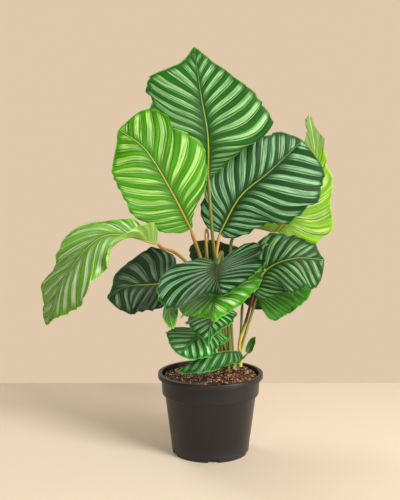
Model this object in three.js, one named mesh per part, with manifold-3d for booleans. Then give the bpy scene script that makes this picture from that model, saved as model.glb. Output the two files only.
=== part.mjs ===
// A calathea with round, striped, pleated leaves in a black nursery pot.
// Millimetres, +Z up. The origin is the middle of the pot's foot, and the plant is seen from -Y.
import * as THREE from "three";
import { mergeVertices } from "three/addons/utils/BufferGeometryUtils.js";
import Module from "manifold-3d";

const wasm = await Module();
wasm.setup();

// ---- Driving dimensions ----------------------------------------------------------------------------

const POT = {
  height: 146,
  rimRadius: 95, // outside of the turned-down lip
  lipHeight: 8.5,
  lipTop: 2.1, // thickness of the rim over the slot inside the lip
  edge: 1.2, // chamfer round the rim's top and the foot
  collarTopRadius: 89.5,
  collarFootRadius: 87.5,
  collarFootZ: 110, // where the wide collar steps in to the body
  collarStep: 3, // height of that step outside
  bodyRadius: 83, // outside of the body just under the collar
  footRadius: 69,
  stepTopZ: 112, // the same step inside
  stepFootZ: 106,
  wall: 1.5,
  floor: 2,
  sides: 40,
};

// Drainage gaps cut through the wall and the floor's edge, from below the foot.
const NOTCH = { count: 5, width: 19.5, height: 5.5, below: 1, reach: 12, firstAngle: -86.6 };

const SOIL = {
  edgeZ: 138.2,
  mound: 2.6,
  lump: 0.7,
  lumpFlat: 6, // the higher, the nearer to the wall the lumps go on
  heap: { x: 56, y: 54, height: 9.5, width: 34 }, // banked up round the stalks
  sides: 30,
  rings: 5,
  clearance: 0.3,
};

// The stalks leave the soil on a golden-angle spiral.
const CROWN = { x: 36, y: 46, spacing: 5.7, firstTurn: 0.4, turn: 137.5 };

const STALK = {
  sides: 6,
  steps: 10,
  holeDepth: 22,
  holeSides: 9,
  holeAbove: 20, // how far a hole's cutter stands out of the soil's edge
  straightFrom: 130.2, // the stretch of every stalk that is upright
  straightTo: 152,
  smooth: 0.15, // facets of the cut end that are smaller than this go
};

const BLADE = {
  thickness: 0.8,
  keelBase: 1.5, // how far the midrib stands out underneath, at the stalk and at the tip
  keelTip: 0.2,
  pleat: 0.7, // height of the folds that follow the side veins
  stations: 18, // two for each fold
  acrossStops: [0, 0.07, 0.4, 0.72, 1], // from the midrib, over the keel's edge, to the margin
  veinRise: 1.9, // how late the side veins leave the midrib
  veinBow: 0.4,
  roundness: 0.8,
  lobeSpan: 0.34, // the stations over which a lobe reaches back past the stalk
  dripFrom: 0.8, // the station where the tip starts to draw out
  waveRise: 2.5, // how near to the margin the waves stay
};
const GAP = 0.3; // kept between pieces that touch
const CUT = 2 * GAP; // how far a blade is moved up, down and back to cut its own stalk away from it

const COLOURS = {
  pot: 0x322e2b,
  soil: 0x3a2a20,
  dark: 0x2f4a34,
  mid: 0x4a6a45,
  bright: 0x6f9450,
  lime: 0x8fa552,
  tan: 0x9a7a52,
  olive: 0x7d8040,
  red: 0x6d3d2c,
  green: 0x8f9a48,
};
const ROUGHNESS = { pot: 0.42, soil: 0.95, leaf: 0.5 };

// Each leaf. rib: the midrib from stalk to tip. facing: the way its upper face looks, from base to tip.
// Left and right are those of a viewer who looks at the upper face with the tip up. shape scales the
// half width at even stations from base to tip. fold (degrees, from base to tip) lifts a half out of
// the plane of the midrib, and curl bends it on towards the margin. belly moves its widest place towards
// the tip, and lobe draws it back past the stalk. spot is the stalk's place in the crown, and by are the
// points that it passes on its way up.
const LEAVES = [
  {
    name: "leaf_01_top",
    rib: [[-4, 20, 496], [-5, 8, 571], [-17, 8, 640], [-30, 34, 728]],
    facing: [[0, -1, 0.1], [0, -1, 0.2]],
    left: {
      width: 104, belly: 0.85, lobe: 0.05, fold: [4], curl: -8,
      shape: [0.9, 0.9, 0.95, 0.97, 0.98, 0.9, 0.88, 1.01, 1.1, 0.55, 0.36],
    },
    right: {
      width: 125, belly: 1.4, lobe: 0, fold: [6], curl: -10,
      shape: [0.15, 0.18, 0.24, 0.33, 0.54, 0.93, 0.86, 0.75, 0.6, 0.5, 0.38],
    },
    drip: 0.07,
    wave: { height: 4, count: 3, phase: 0 },
    stalk: { spot: 1, radius: 3.1, by: [[20, 44, 260], [5, 30, 380], [-1, 22, 450]] },
    tone: "dark",
    stalkTone: "olive",
  },
  {
    name: "leaf_02_left_young",
    rib: [[-35, -5, 406], [-72, -25, 479], [-115, -30, 547], [-160, -20, 580]],
    facing: [[0.1, -1, 0.2], [0, -1, 0.3]],
    left: {
      width: 88, belly: 1, lobe: 0, fold: [4], curl: -8,
      shape: [0.75, 0.79, 0.84, 0.88, 0.95, 0.9, 0.89, 0.95, 1.03, 0.88, 0.54],
    },
    right: {
      width: 96, belly: 1, lobe: 0, fold: [4], curl: -8,
      shape: [0.18, 0.18, 0.36, 0.63, 0.82, 0.93, 0.87, 0.77, 0.92, 1.15, 1.25],
    },
    drip: 0.03,
    wave: { height: 4, count: 3, phase: 1 },
    stalk: { spot: 4, radius: 3.2, by: [[8, 38, 260], [-18, 27, 350], [-30, 4, 388]] },
    tone: "bright",
    stalkTone: "tan",
  },
  {
    name: "leaf_03_right_dark",
    rib: [[18, 45, 395], [55, 40, 462], [109, 45, 508], [169, 61, 564]],
    facing: [[0, -1, 0.2], [0, -1, 0.3]],
    left: {
      width: 92, belly: 1, lobe: 0.05, fold: [4], curl: -8,
      shape: [0.77, 0.68, 0.79, 0.76, 0.76, 0.82, 0.85, 0.78, 0.73, 0.9, 0.78],
    },
    right: {
      width: 96, belly: 1, lobe: 0.05, fold: [4], curl: -8,
      shape: [0.3, 0.47, 0.7, 0.76, 0.87, 0.98, 1.05, 1.16, 1.22, 1.38, 1.7],
    },
    drip: 0.03,
    wave: { height: 4, count: 3, phase: 2 },
    stalk: { spot: 6, radius: 3, by: [[24, 52, 260], [11, 44, 345]] },
    tone: "dark",
    stalkTone: "tan",
  },
  {
    name: "leaf_04_far_right_lime",
    rib: [[128, 90, 395], [172, 100, 450], [197, 100, 530], [184, 85, 612]],
    facing: [[0.2, -1, 0.2], [0.3, -1, 0.3]],
    left: {
      width: 75, belly: 1, lobe: 0.1, fold: [4], curl: -8,
      shape: [1, 1, 1, 1, 0.9, 0.8, 0.6, 0.42, 0.3, 0.22, 0.4],
    },
    right: {
      width: 88, belly: 1, lobe: 0.1, fold: [4], curl: -8,
      shape: [1.05, 1.1, 1.1, 0.99, 0.68, 0.59, 0.32, 0.29, 0.24, 0.18, 0.16],
    },
    drip: 0.03,
    wave: { height: 4, count: 3, phase: 0.5 },
    stalk: { spot: 3, radius: 3, by: [[38, 60, 260], [37, 66, 350], [44, 72, 385], [80, 84, 402]] },
    tone: "lime",
    stalkTone: "olive",
  },
  {
    name: "leaf_05_drooping_left",
    rib: [[-93, -56, 386], [-182, -66, 398], [-247, -74, 330], [-284, -64, 244]],
    facing: [[0, -0.1, 1], [-0.5, -0.7, 0.6], [-0.75, -0.6, 0.4], [-0.7, -0.6, 0.3]],
    left: {
      width: 85, belly: 1, lobe: 0, fold: [66, 56, 0, 0, 0], curl: -8,
      shape: [1.05, 1.05, 0.95, 0.85, 0.79, 0.79, 0.89, 1.04, 0.74, 0.52, 0.28],
    },
    right: {
      width: 85, belly: 1, lobe: 0, fold: [68, 58, 10, 0, 0], curl: -8,
      shape: [0.4, 0.42, 0.42, 0.35, 0.42, 0.66, 0.7, 0.7, 1.05, 0.85, 1.1],
    },
    drip: 0.03,
    wave: { height: 5, count: 4, phase: 0 },
    stalk: { spot: 9, radius: 2.9, by: [[0, 38, 260], [-30, 38, 325], [-62, 30, 358], [-85, -12, 372]] },
    tone: "bright",
    stalkTone: "tan",
  },
  {
    name: "leaf_06_dark_left",
    rib: [[-66, 25, 305], [-110, 37, 300], [-156, 40, 295], [-189, 30, 276]],
    facing: [[0, -0.75, 0.65], [0, -0.75, 0.65]],
    left: { width: 80, shape: [0.8, 0.75, 0.75, 0.8, 1.2], belly: 1, lobe: 0.05, fold: [4], curl: -8 },
    right: {
      width: 80, belly: 1, lobe: 0.05, fold: [4], curl: -8,
      shape: [1, 1.03, 1.07, 1.1, 1.08, 1, 0.8, 0.48, 0.28, 0.22, 0.2],
    },
    drip: 0.03,
    wave: { height: 5, count: 3, phase: 0 },
    stalk: { spot: 17, radius: 2.8, by: [[-8, 44, 230], [-38, 40, 285]] },
    tone: "dark",
    stalkTone: "olive",
  },
  {
    name: "leaf_07_big_front",
    rib: [[12, -20, 343], [9, -75, 336], [10, -125, 326], [16, -160, 310]],
    facing: [[-0.1, -0.35, 0.9], [-0.42, -0.35, 0.85], [-0.42, -0.35, 0.85]],
    left: {
      width: 85, belly: 1, lobe: 0.2, fold: [42, 20, 0, -8], curl: -8,
      shape: [1.2, 1.29, 1.4, 1.29, 1.17, 1.09, 1.04, 1, 1, 0.94, 0.63],
    },
    right: {
      width: 95, belly: 1, lobe: 0.3, fold: [30, 8, -12, -12], curl: -8,
      shape: [0.5, 0.6, 0.8, 1.15, 1.18, 1.1, 0.98, 0.6, 0.3, 0.22, 0.2],
    },
    drip: 0.03,
    wave: { height: 5, count: 3, phase: 0 },
    stalk: { spot: 0, radius: 3.2, by: [[30, 38, 260], [22, 32, 340], [20, 14, 362], [15, -8, 354]] },
    tone: "dark",
    stalkTone: "olive",
  },
  {
    name: "leaf_08_under_front",
    rib: [[13, -30, 311], [7, -75, 303], [3, -115, 291], [4, -138, 263]],
    facing: [[-0.1, -0.35, 0.9], [-0.42, -0.35, 0.85], [-0.42, -0.35, 0.85]],
    left: {
      width: 88, belly: 1, lobe: 0.12, fold: [30, 15, 0, -8], curl: -8,
      shape: [1.3, 1.3, 1.36, 1.19, 1.09, 1.02, 0.97, 0.86, 0.84, 0.57, 0.28],
    },
    right: {
      width: 72, belly: 1, lobe: 0.12, fold: [15, 0, -10, -10], curl: -8,
      shape: [1.1, 1.1, 1.08, 1.05, 1, 0.96, 0.96, 0.86, 0.7, 0.38, 0.2],
    },
    drip: 0.05,
    wave: { height: 4, count: 3, phase: 1 },
    stalk: { spot: 2, radius: 2.8, by: [[32, 20, 240], [28, 8, 300], [22, -10, 320]] },
    tone: "bright",
    stalkTone: "olive",
  },
  {
    name: "leaf_09_drip_tip",
    rib: [[9, -25, 267], [3, -60, 259], [-2, -90, 244], [-6, -108, 216]],
    facing: [[-0.1, -0.3, 0.95], [-0.1, -0.5, 0.85]],
    left: {
      width: 40, belly: 1, lobe: 0.1, fold: [-8], curl: -8,
      shape: [1.5, 1.5, 1.3, 1.15, 1, 0.82, 0.75, 0.65, 0.45, 0.3, 0.3],
    },
    right: {
      width: 52, belly: 1, lobe: 0.1, fold: [-8], curl: -8,
      shape: [1.2, 1.2, 1.15, 1.05, 0.99, 0.9, 0.82, 0.77, 0.72, 0.62, 0.5],
    },
    drip: 0.12,
    wave: { height: 3, count: 3, phase: 2 },
    stalk: { spot: 7, radius: 2.5, by: [[22, 14, 220], [18, 2, 262], [14, -14, 276]] },
    tone: "dark",
    stalkTone: "olive",
  },
  {
    name: "leaf_10_low_left",
    rib: [[6, -10, 225], [-12, -45, 226], [-33, -75, 217], [-54, -92, 198]],
    facing: [[0, -0.4, 0.9], [0, -0.5, 0.85]],
    left: { width: 46, shape: [1.1, 0.9, 0.9, 1, 1.1], belly: 1, lobe: 0.1, fold: [-8], curl: -8 },
    right: { width: 68, shape: [1.2, 1.1, 1, 0.95, 1], belly: 1, lobe: 0.05, fold: [-8], curl: -8 },
    drip: 0.04,
    wave: { height: 3, count: 3, phase: 0 },
    stalk: { spot: 15, radius: 2.4, by: [[22, 8, 200], [14, 0, 222]] },
    tone: "mid",
    stalkTone: "olive",
  },
  {
    name: "leaf_11_over_soil",
    rib: [[53, 0, 184], [20, -45, 193], [-19, -75, 189], [-57, -85, 168]],
    facing: [[0, -0.1, 1], [0, -0.2, 1]],
    left: { width: 32, shape: [0.9, 1, 1, 1, 1], belly: 1, lobe: 0, fold: [-34, -28], curl: -8 },
    right: { width: 40, shape: [1, 1, 1, 1, 1], belly: 1, lobe: 0, fold: [-55, -38], curl: -8 },
    drip: 0.04,
    wave: { height: 3, count: 3, phase: 0 },
    stalk: { spot: 10, radius: 2.3, by: [[52, 14, 172]] },
    tone: "mid",
    stalkTone: "green",
  },
  {
    name: "leaf_12_right",
    rib: [[78, 8, 289], [103, 2, 334], [152, 0, 353], [205, 10, 349]],
    facing: [[-0.3, -0.85, 0.4], [0, -0.85, 0.5]],
    left: {
      width: 62, belly: 1, lobe: 0.05, fold: [4], curl: -8,
      shape: [0.9, 0.9, 0.92, 0.93, 0.9, 0.92, 0.89, 0.76, 0.72, 0.75, 0.45],
    },
    right: {
      width: 60, belly: 1, lobe: 0.05, fold: [-10], curl: -8,
      shape: [0.75, 0.78, 0.9, 1.03, 1.03, 1.02, 1.02, 1.05, 1.15, 1.55, 1.9],
    },
    drip: 0.03,
    wave: { height: 4, count: 3, phase: 0 },
    stalk: { spot: 13, radius: 2.8, by: [[54, 38, 190], [66, 27, 236]] },
    tone: "dark",
    stalkTone: "red",
  },
  {
    name: "leaf_13_under_right",
    rib: [[86, 42, 274], [119, 52, 286], [153, 52, 293], [188, 45, 291]],
    facing: [[0, -0.6, 0.75], [0, -0.6, 0.75]],
    left: { width: 50, shape: [1, 1, 1, 1, 1], belly: 1, lobe: 0.05, fold: [4], curl: -8 },
    right: { width: 55, shape: [1.5, 1.15, 0.9, 1, 1], belly: 1, lobe: 0.05, fold: [-10], curl: -8 },
    drip: 0.03,
    wave: { height: 4, count: 3, phase: 0 },
    stalk: { spot: 8, radius: 2.6, by: [[61, 46, 190], [74, 42, 235]] },
    tone: "mid",
    stalkTone: "green",
  },
  {
    name: "leaf_14_back_left",
    rib: [[-4, 86, 378], [0, 116, 368], [8, 150, 342], [14, 174, 306]],
    facing: [[0, 0.3, 0.95], [0, 0.6, 0.8]],
    left: { width: 46, shape: [1, 1, 1, 1, 1], belly: 1, lobe: 0.1, fold: [-8], curl: -12 },
    right: { width: 64, shape: [1, 1, 1, 1, 1], belly: 1, lobe: 0.1, fold: [-8], curl: -12 },
    drip: 0.03,
    wave: { height: 4, count: 3, phase: 0 },
    stalk: {
      spot: 14, radius: 2.8,
      by: [[8, 56, 260], [-6, 50, 350], [-8, 55, 392], [-7, 66, 399], [-5, 78, 390]],
    },
    tone: "dark",
    stalkTone: "tan",
  },
  {
    name: "leaf_15_back_middle",
    rib: [[30, 100, 300], [20, 135, 305], [4, 172, 292], [-10, 198, 262]],
    facing: [[0, 0.2, 0.95], [0, 0.6, 0.8]],
    left: { width: 70, shape: [1, 1, 1, 1, 1], belly: 1, lobe: 0.1, fold: [-8], curl: -8 },
    right: { width: 70, shape: [1, 1, 1, 1, 1], belly: 1, lobe: 0.1, fold: [-8], curl: -8 },
    drip: 0.03,
    wave: { height: 4, count: 3, phase: 0 },
    stalk: { spot: 11, radius: 2.7, by: [[36, 78, 225], [30, 93, 285]] },
    tone: "dark",
    stalkTone: "olive",
  },
  {
    name: "leaf_16_small_left",
    rib: [[-65, -20, 278], [-69, -50, 275], [-70, -78, 261], [-64, -98, 244]],
    facing: [[0, -0.3, 0.95], [-0.2, -0.5, 0.85]],
    left: { width: 14, shape: [1, 1, 1, 1, 1], belly: 1, lobe: 0.05, fold: [-8], curl: -8 },
    right: { width: 14, shape: [1, 1, 1, 1, 1], belly: 1, lobe: 0.05, fold: [-8], curl: -8 },
    drip: 0.06,
    wave: { height: 2, count: 3, phase: 0 },
    stalk: { spot: 12, radius: 2.2, by: [[4, 24, 225], [-28, 10, 264], [-54, -6, 280]] },
    tone: "bright",
    stalkTone: "green",
  },
  {
    name: "leaf_17_small_right",
    rib: [[68, 18, 176], [72, 18, 186], [78, 15, 198], [82, 10, 208]],
    facing: [[-0.3, -0.8, 0.3], [-0.6, -0.7, 0.5]],
    left: { width: 8, shape: [1, 1, 1, 1, 1], belly: 1, lobe: 0, fold: [10], curl: 8 },
    right: { width: 9, shape: [1, 1, 1, 1, 1], belly: 1, lobe: 0, fold: [10], curl: 8 },
    drip: 0.08,
    wave: { height: 1, count: 2, phase: 0 },
    stalk: { spot: 5, radius: 1.8, by: [[55, 29, 161], [62, 22, 168]] },
    tone: "bright",
    stalkTone: "green",
  },
  {
    name: "leaf_18_low_back_right",
    rib: [[62, 75, 262], [85, 105, 280], [112, 140, 278], [132, 168, 252]],
    facing: [[0.2, 0.2, 0.95], [0.4, 0.5, 0.8]],
    left: { width: 60, shape: [0.7, 0.95, 1, 1, 0.95], belly: 1, lobe: 0, fold: [-8], curl: -8 },
    right: { width: 62, shape: [1, 1, 1, 1, 1], belly: 1, lobe: 0.1, fold: [-8], curl: -8 },
    drip: 0.04,
    wave: { height: 4, count: 3, phase: 0 },
    stalk: { spot: 16, radius: 2.6, by: [[58, 66, 200]] },
    tone: "dark",
    stalkTone: "green",
  },
];

// ---- Shared helpers --------------------------------------------------------------------------------

const vec = (p) => new THREE.Vector3(...p);
const radians = THREE.MathUtils.degToRad;
const mix = THREE.MathUtils.lerp;

/** A value from a list of evenly spaced stops, at t from 0 to 1. */
function between(stops, t) {
  if (stops.length === 1) return stops[0];
  const place = Math.min(t * (stops.length - 1), stops.length - 1.001);
  const i = Math.floor(place);
  return mix(stops[i], stops[i + 1], place - i);
}

/** A closed geometry as a manifold-3d solid. */
function solidFrom(geometry) {
  const bare = geometry.clone();
  bare.deleteAttribute("normal");
  bare.deleteAttribute("uv");
  const merged = mergeVertices(bare, 1e-4);
  return new wasm.Manifold(
    new wasm.Mesh({
      numProp: 3,
      vertProperties: new Float32Array(merged.attributes.position.array),
      triVerts: new Uint32Array(merged.index.array),
    }),
  );
}

/** A manifold-3d solid as a three.js geometry. */
function geometryFrom(solid) {
  const mesh = solid.getMesh();
  const geometry = new THREE.BufferGeometry();
  geometry.setAttribute("position", new THREE.BufferAttribute(mesh.vertProperties, 3));
  geometry.setIndex(new THREE.BufferAttribute(mesh.triVerts, 1));
  return geometry;
}

/** The largest of a solid's separate bodies, without the scraps that a cut leaves. */
function largestBody(solid) {
  return solid.decompose().sort((a, b) => b.volume() - a.volume())[0];
}

/** A named mesh with its own material. */
function piece(name, geometry, colour, roughness) {
  geometry.computeVertexNormals();
  const material = new THREE.MeshStandardMaterial({ color: colour, roughness, metalness: 0 });
  const mesh = new THREE.Mesh(geometry, material);
  mesh.name = name;
  return mesh;
}

/** A lathe body about +Z from [radius, z] points that start and end on the axis. */
function turned(profile, sides) {
  const geometry = new THREE.LatheGeometry(profile.map(([r, z]) => new THREE.Vector2(r, z)), sides);
  return geometry.rotateX(Math.PI / 2);
}

// ---- Pot -------------------------------------------------------------------------------------------

/** Inner radius of the pot's wall at a height. */
function innerRadius(z) {
  if (z >= POT.collarFootZ) {
    const t = (z - POT.collarFootZ) / (POT.height - POT.collarFootZ);
    return mix(POT.collarFootRadius, POT.collarTopRadius, t) - POT.wall;
  }
  return mix(POT.footRadius, POT.bodyRadius, z / POT.collarFootZ) - POT.wall;
}

/** The pot: a lathe body with a slotted lip, less the drainage notches. */
function potGeometry() {
  const lipInside = POT.rimRadius - POT.wall;
  const outerAt = (z) => innerRadius(z) + POT.wall;
  const stepFoot = POT.collarFootZ - POT.collarStep;
  const profile = [
    [0, 0],
    [POT.footRadius - POT.edge, 0],
    [POT.footRadius, POT.edge],
    [outerAt(stepFoot), stepFoot], // the body's long taper
    [POT.collarFootRadius - POT.edge, POT.collarFootZ - POT.collarStep / 2], // the step out to the collar
    [POT.collarFootRadius, POT.collarFootZ],
    [POT.collarTopRadius, POT.height - POT.lipTop],
    [lipInside, POT.height - POT.lipTop], // the slot inside the turned-down lip
    [lipInside, POT.height - POT.lipHeight],
    [POT.rimRadius, POT.height - POT.lipHeight],
    [POT.rimRadius, POT.height - POT.edge],
    [POT.rimRadius - POT.edge, POT.height],
    [innerRadius(POT.height), POT.height],
    [innerRadius(POT.stepTopZ), POT.stepTopZ],
    [innerRadius(POT.stepFootZ), POT.stepFootZ],
    [innerRadius(POT.floor), POT.floor],
    [0, POT.floor],
  ];
  let solid = solidFrom(turned(profile, POT.sides));
  for (let i = 0; i < NOTCH.count; i++) {
    const cutter = new THREE.BoxGeometry(NOTCH.reach, NOTCH.width, NOTCH.height + NOTCH.below);
    cutter.translate(POT.footRadius, 0, (NOTCH.height - NOTCH.below) / 2);
    cutter.rotateZ(radians(NOTCH.firstAngle + (i * 360) / NOTCH.count));
    solid = solid.subtract(solidFrom(cutter));
  }
  return geometryFrom(solid);
}

// ---- Crown and soil --------------------------------------------------------------------------------

/** The place in the crown where the stalk of a spot leaves the soil. */
function crownSpot(index) {
  const reach = CROWN.spacing * Math.sqrt(index + CROWN.firstTurn);
  const angle = radians(index * CROWN.turn);
  return [CROWN.x + reach * Math.cos(angle), CROWN.y + reach * Math.sin(angle)];
}

/** Height of the soil's lumpy top at a point. */
function soilTop(x, y) {
  const share = Math.hypot(x, y) / innerRadius(SOIL.edgeZ);
  const lumps = Math.sin(x * 0.11 + 1) * Math.cos(y * 0.13) + 0.6 * Math.sin(x * 0.23 - y * 0.19);
  const away = Math.hypot(x - SOIL.heap.x, y - SOIL.heap.y) / SOIL.heap.width;
  const heap = SOIL.heap.height * Math.exp(-(away ** 2));
  const rise = (SOIL.lump * lumps + heap) * (1 - share ** SOIL.lumpFlat);
  return SOIL.edgeZ + SOIL.mound * (1 - share ** 2) + rise;
}

/** The pot's filling: rings of points over the lumpy top, down the wall and in again at the floor. */
function soilGeometry() {
  const floorZ = POT.floor + SOIL.clearance;
  const wallRadius = (z) => (innerRadius(z) - SOIL.clearance) * Math.cos(Math.PI / POT.sides);
  const rings = [];
  for (let k = 1; k <= SOIL.rings; k++) {
    const radius = (wallRadius(SOIL.edgeZ) * k) / SOIL.rings;
    rings.push((x, y) => [x * radius, y * radius, soilTop(x * radius, y * radius)]);
  }
  for (const z of [POT.stepTopZ, POT.stepFootZ, floorZ]) {
    rings.push((x, y) => [x * wallRadius(z), y * wallRadius(z), z]);
  }
  const points = [[0, 0, soilTop(0, 0)]];
  for (const ring of rings) {
    for (let i = 0; i < SOIL.sides; i++) {
      const angle = (i * 2 * Math.PI) / SOIL.sides;
      points.push(ring(Math.cos(angle), Math.sin(angle)));
    }
  }
  points.push([0, 0, floorZ]);
  const at = (ring, i) => 1 + ring * SOIL.sides + (i % SOIL.sides);
  const last = points.length - 1;
  const faces = [];
  for (let i = 0; i < SOIL.sides; i++) {
    faces.push(0, at(0, i), at(0, i + 1));
    for (let ring = 0; ring < rings.length - 1; ring++) {
      faces.push(at(ring, i), at(ring + 1, i), at(ring + 1, i + 1));
      faces.push(at(ring, i), at(ring + 1, i + 1), at(ring, i + 1));
    }
    faces.push(last, at(rings.length - 1, i + 1), at(rings.length - 1, i));
  }
  const geometry = new THREE.BufferGeometry();
  geometry.setAttribute("position", new THREE.Float32BufferAttribute(points.flat(), 3));
  geometry.setIndex(faces);
  let solid = solidFrom(geometry);
  for (const leaf of LEAVES) {
    solid = solid.subtract(solidFrom(holeGeometry(leaf.stalk)));
  }
  return geometryFrom(solid);
}

/** The plain hole that a stalk stands in. */
function holeGeometry(stalk) {
  const [x, y] = crownSpot(stalk.spot);
  const radius = (stalk.radius + GAP) / Math.cos(Math.PI / STALK.holeSides);
  const depth = STALK.holeDepth + GAP;
  const geometry = new THREE.CylinderGeometry(radius, radius, depth + STALK.holeAbove, STALK.holeSides);
  const middleZ = SOIL.edgeZ + (STALK.holeAbove - depth) / 2;
  return geometry.rotateX(Math.PI / 2).translate(x, y, middleZ);
}

// ---- Leaf stalks -----------------------------------------------------------------------------------

/** The stalk's way from the bottom of its hole, straight up out of the soil, then up to the blade. */
function stalkCurve(leaf) {
  const [x, y] = crownSpot(leaf.stalk.spot);
  const middle = mix(STALK.straightFrom, STALK.straightTo, 0.5);
  const heights = [SOIL.edgeZ - STALK.holeDepth, STALK.straightFrom, middle, STALK.straightTo];
  const way = [...heights.map((z) => [x, y, z]), ...leaf.stalk.by].map(vec);
  const base = vec(leaf.rib[0]);
  const end = base.clone().add(way.at(-1).clone().sub(base).setLength(2 * GAP));
  return new THREE.CatmullRomCurve3([...way, end]);
}

/** A stalk: a many-sided section drawn along its curve, and cut back from its own blade. */
function stalkGeometry(leaf) {
  const corners = [];
  for (let i = 0; i < STALK.sides; i++) {
    const angle = (i * 2 * Math.PI) / STALK.sides;
    corners.push(new THREE.Vector2(Math.cos(angle), Math.sin(angle)).multiplyScalar(leaf.stalk.radius));
  }
  const sweep = { steps: STALK.steps, extrudePath: stalkCurve(leaf) };
  const tube = new THREE.ExtrudeGeometry(new THREE.Shape(corners), sweep);
  const blade = solidFrom(bladeGeometry(leaf));
  const curve = new THREE.CatmullRomCurve3(leaf.rib.map(vec));
  const { up } = ribFrame(leaf, curve, 0);
  let solid = solidFrom(tube).subtract(blade);
  for (const way of [up, up.clone().negate(), curve.getTangentAt(0).negate()]) {
    solid = solid.subtract(blade.translate(way.setLength(CUT).toArray()));
  }
  return geometryFrom(largestBody(solid.simplify(STALK.smooth)));
}

// ---- Leaf blades -----------------------------------------------------------------------------------

/** The midrib's point and the blade's axes at a share of its length. It runs on straight past the base. */
function ribFrame(leaf, curve, share) {
  const t = THREE.MathUtils.clamp(share, 0, 1);
  const along = curve.getTangentAt(t);
  const centre = curve.getPointAt(t).addScaledVector(along, (share - t) * curve.getLength());
  const facing = vec([0, 1, 2].map((axis) => between(leaf.facing.map((f) => f[axis]), t)));
  const up = facing.addScaledVector(along, -facing.dot(along)).normalize();
  const right = new THREE.Vector3().crossVectors(along, up);
  return { centre, up, right };
}

/** A half's flat outline: share of the length, and distance out, at station q from 0 (base) to 1 (tip). */
function marginPoint(leaf, side, q) {
  const angle = Math.PI * q;
  const lobe = side.lobe * Math.sin(Math.PI * Math.min(1, q / BLADE.lobeSpan));
  const drip = leaf.drip * Math.max(0, (q - BLADE.dripFrom) / (1 - BLADE.dripFrom)) ** 2;
  const share = (1 - leaf.drip) * ((1 - Math.cos(angle)) / 2) ** side.belly - lobe + drip;
  const scale = between([side.shape[0], ...side.shape, side.shape.at(-1)], q);
  return { share, out: side.width * Math.sin(angle) ** BLADE.roundness * scale };
}

/** The blade's upper and lower point at station q, and u from -1 (left margin) over 0 (midrib) to 1. */
function bladePoint(leaf, curve, length, q, u) {
  const side = u < 0 ? leaf.left : leaf.right;
  const hand = u < 0 ? -1 : 1;
  const across = Math.abs(u);
  const margin = marginPoint(leaf, side, q);
  const isPole = q === 0 || q === 1;
  const root = isPole ? margin.share : q ** BLADE.veinRise;
  const bend = BLADE.veinBow * Math.sin(Math.PI * q) ** 2 * (margin.out / length);
  const bow = bend * across ** 2 * (1 - across);
  const share = mix(root, margin.share, across) - bow;
  const { centre, up, right } = ribFrame(leaf, curve, share);

  const fold = radians(between(side.fold, q));
  const curl = radians(side.curl) || 1e-6;
  const lean = fold + curl * across;
  const outward = ((Math.sin(lean) - Math.sin(fold)) / curl) * margin.out;
  const lift = ((Math.cos(fold) - Math.cos(lean)) / curl) * margin.out;
  const swing = Math.sin(2 * Math.PI * leaf.wave.count * q + leaf.wave.phase + hand);
  const wave = leaf.wave.height * across ** BLADE.waveRise * swing * Math.sin(Math.PI * q);
  const isPleated = across > BLADE.acrossStops[1] && across < 1 && !isPole;
  const ridge = Math.round(q * BLADE.stations) % 2 ? 0.5 : -0.5;
  const pleat = isPleated ? ridge * BLADE.pleat : 0;

  const point = centre.addScaledVector(right, hand * outward).addScaledVector(up, lift + wave + pleat);
  const ridgeLean = radians(between(leaf.right.fold, q) - between(leaf.left.fold, q)) / 2;
  const tilt = across === 0 ? ridgeLean : lean;
  const normal = up.multiplyScalar(Math.cos(tilt)).addScaledVector(right, -hand * Math.sin(tilt));
  const half = BLADE.thickness / 2;
  const keel = across === 0 ? mix(BLADE.keelBase, BLADE.keelTip, q) : 0;
  return [
    point.clone().addScaledVector(normal, half),
    point.clone().addScaledVector(normal, -half - keel),
  ];
}

/** A closed blade: the same grid of points on the upper and the lower face, joined round the margin. */
function bladeGeometry(leaf) {
  const curve = new THREE.CatmullRomCurve3(leaf.rib.map(vec));
  const length = curve.getLength();
  const stops = BLADE.acrossStops;
  const columns = [...stops.slice(1).map((u) => -u).reverse(), ...stops];
  const lastColumn = columns.length - 1;
  const points = [];
  const grid = []; // grid[row][column] is the upper point's index, and the lower one's is one more
  for (let row = 0; row <= BLADE.stations; row++) {
    const q = row / BLADE.stations;
    if (row === 0 || row === BLADE.stations) {
      grid.push(columns.map(() => points.length));
      points.push(...bladePoint(leaf, curve, length, q, 0));
      continue;
    }
    grid.push(columns.map((u, column) => points.length + 2 * column));
    for (const u of columns) points.push(...bladePoint(leaf, curve, length, q, u));
  }
  const faces = [];
  const triangle = (a, b, c) => {
    if (a !== b && b !== c && a !== c) faces.push(a, b, c);
  };
  for (let row = 0; row < BLADE.stations; row++) {
    const [near, far] = [grid[row], grid[row + 1]];
    for (let i = 0; i < lastColumn; i++) {
      triangle(near[i], near[i + 1], far[i + 1]);
      triangle(near[i], far[i + 1], far[i]);
      triangle(near[i] + 1, far[i + 1] + 1, near[i + 1] + 1);
      triangle(near[i] + 1, far[i] + 1, far[i + 1] + 1);
    }
    for (const [column, flip] of [[0, false], [lastColumn, true]]) {
      const quad = [near[column], far[column], far[column] + 1, near[column] + 1];
      const [a, b, c, d] = flip ? [quad[3], quad[2], quad[1], quad[0]] : quad;
      triangle(a, b, c);
      triangle(a, c, d);
    }
  }
  const geometry = new THREE.BufferGeometry();
  geometry.setAttribute("position", new THREE.Float32BufferAttribute(points.flatMap((p) => p.toArray()), 3));
  geometry.setIndex(faces);
  return geometry;
}

// ---- Assembly --------------------------------------------------------------------------------------

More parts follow.
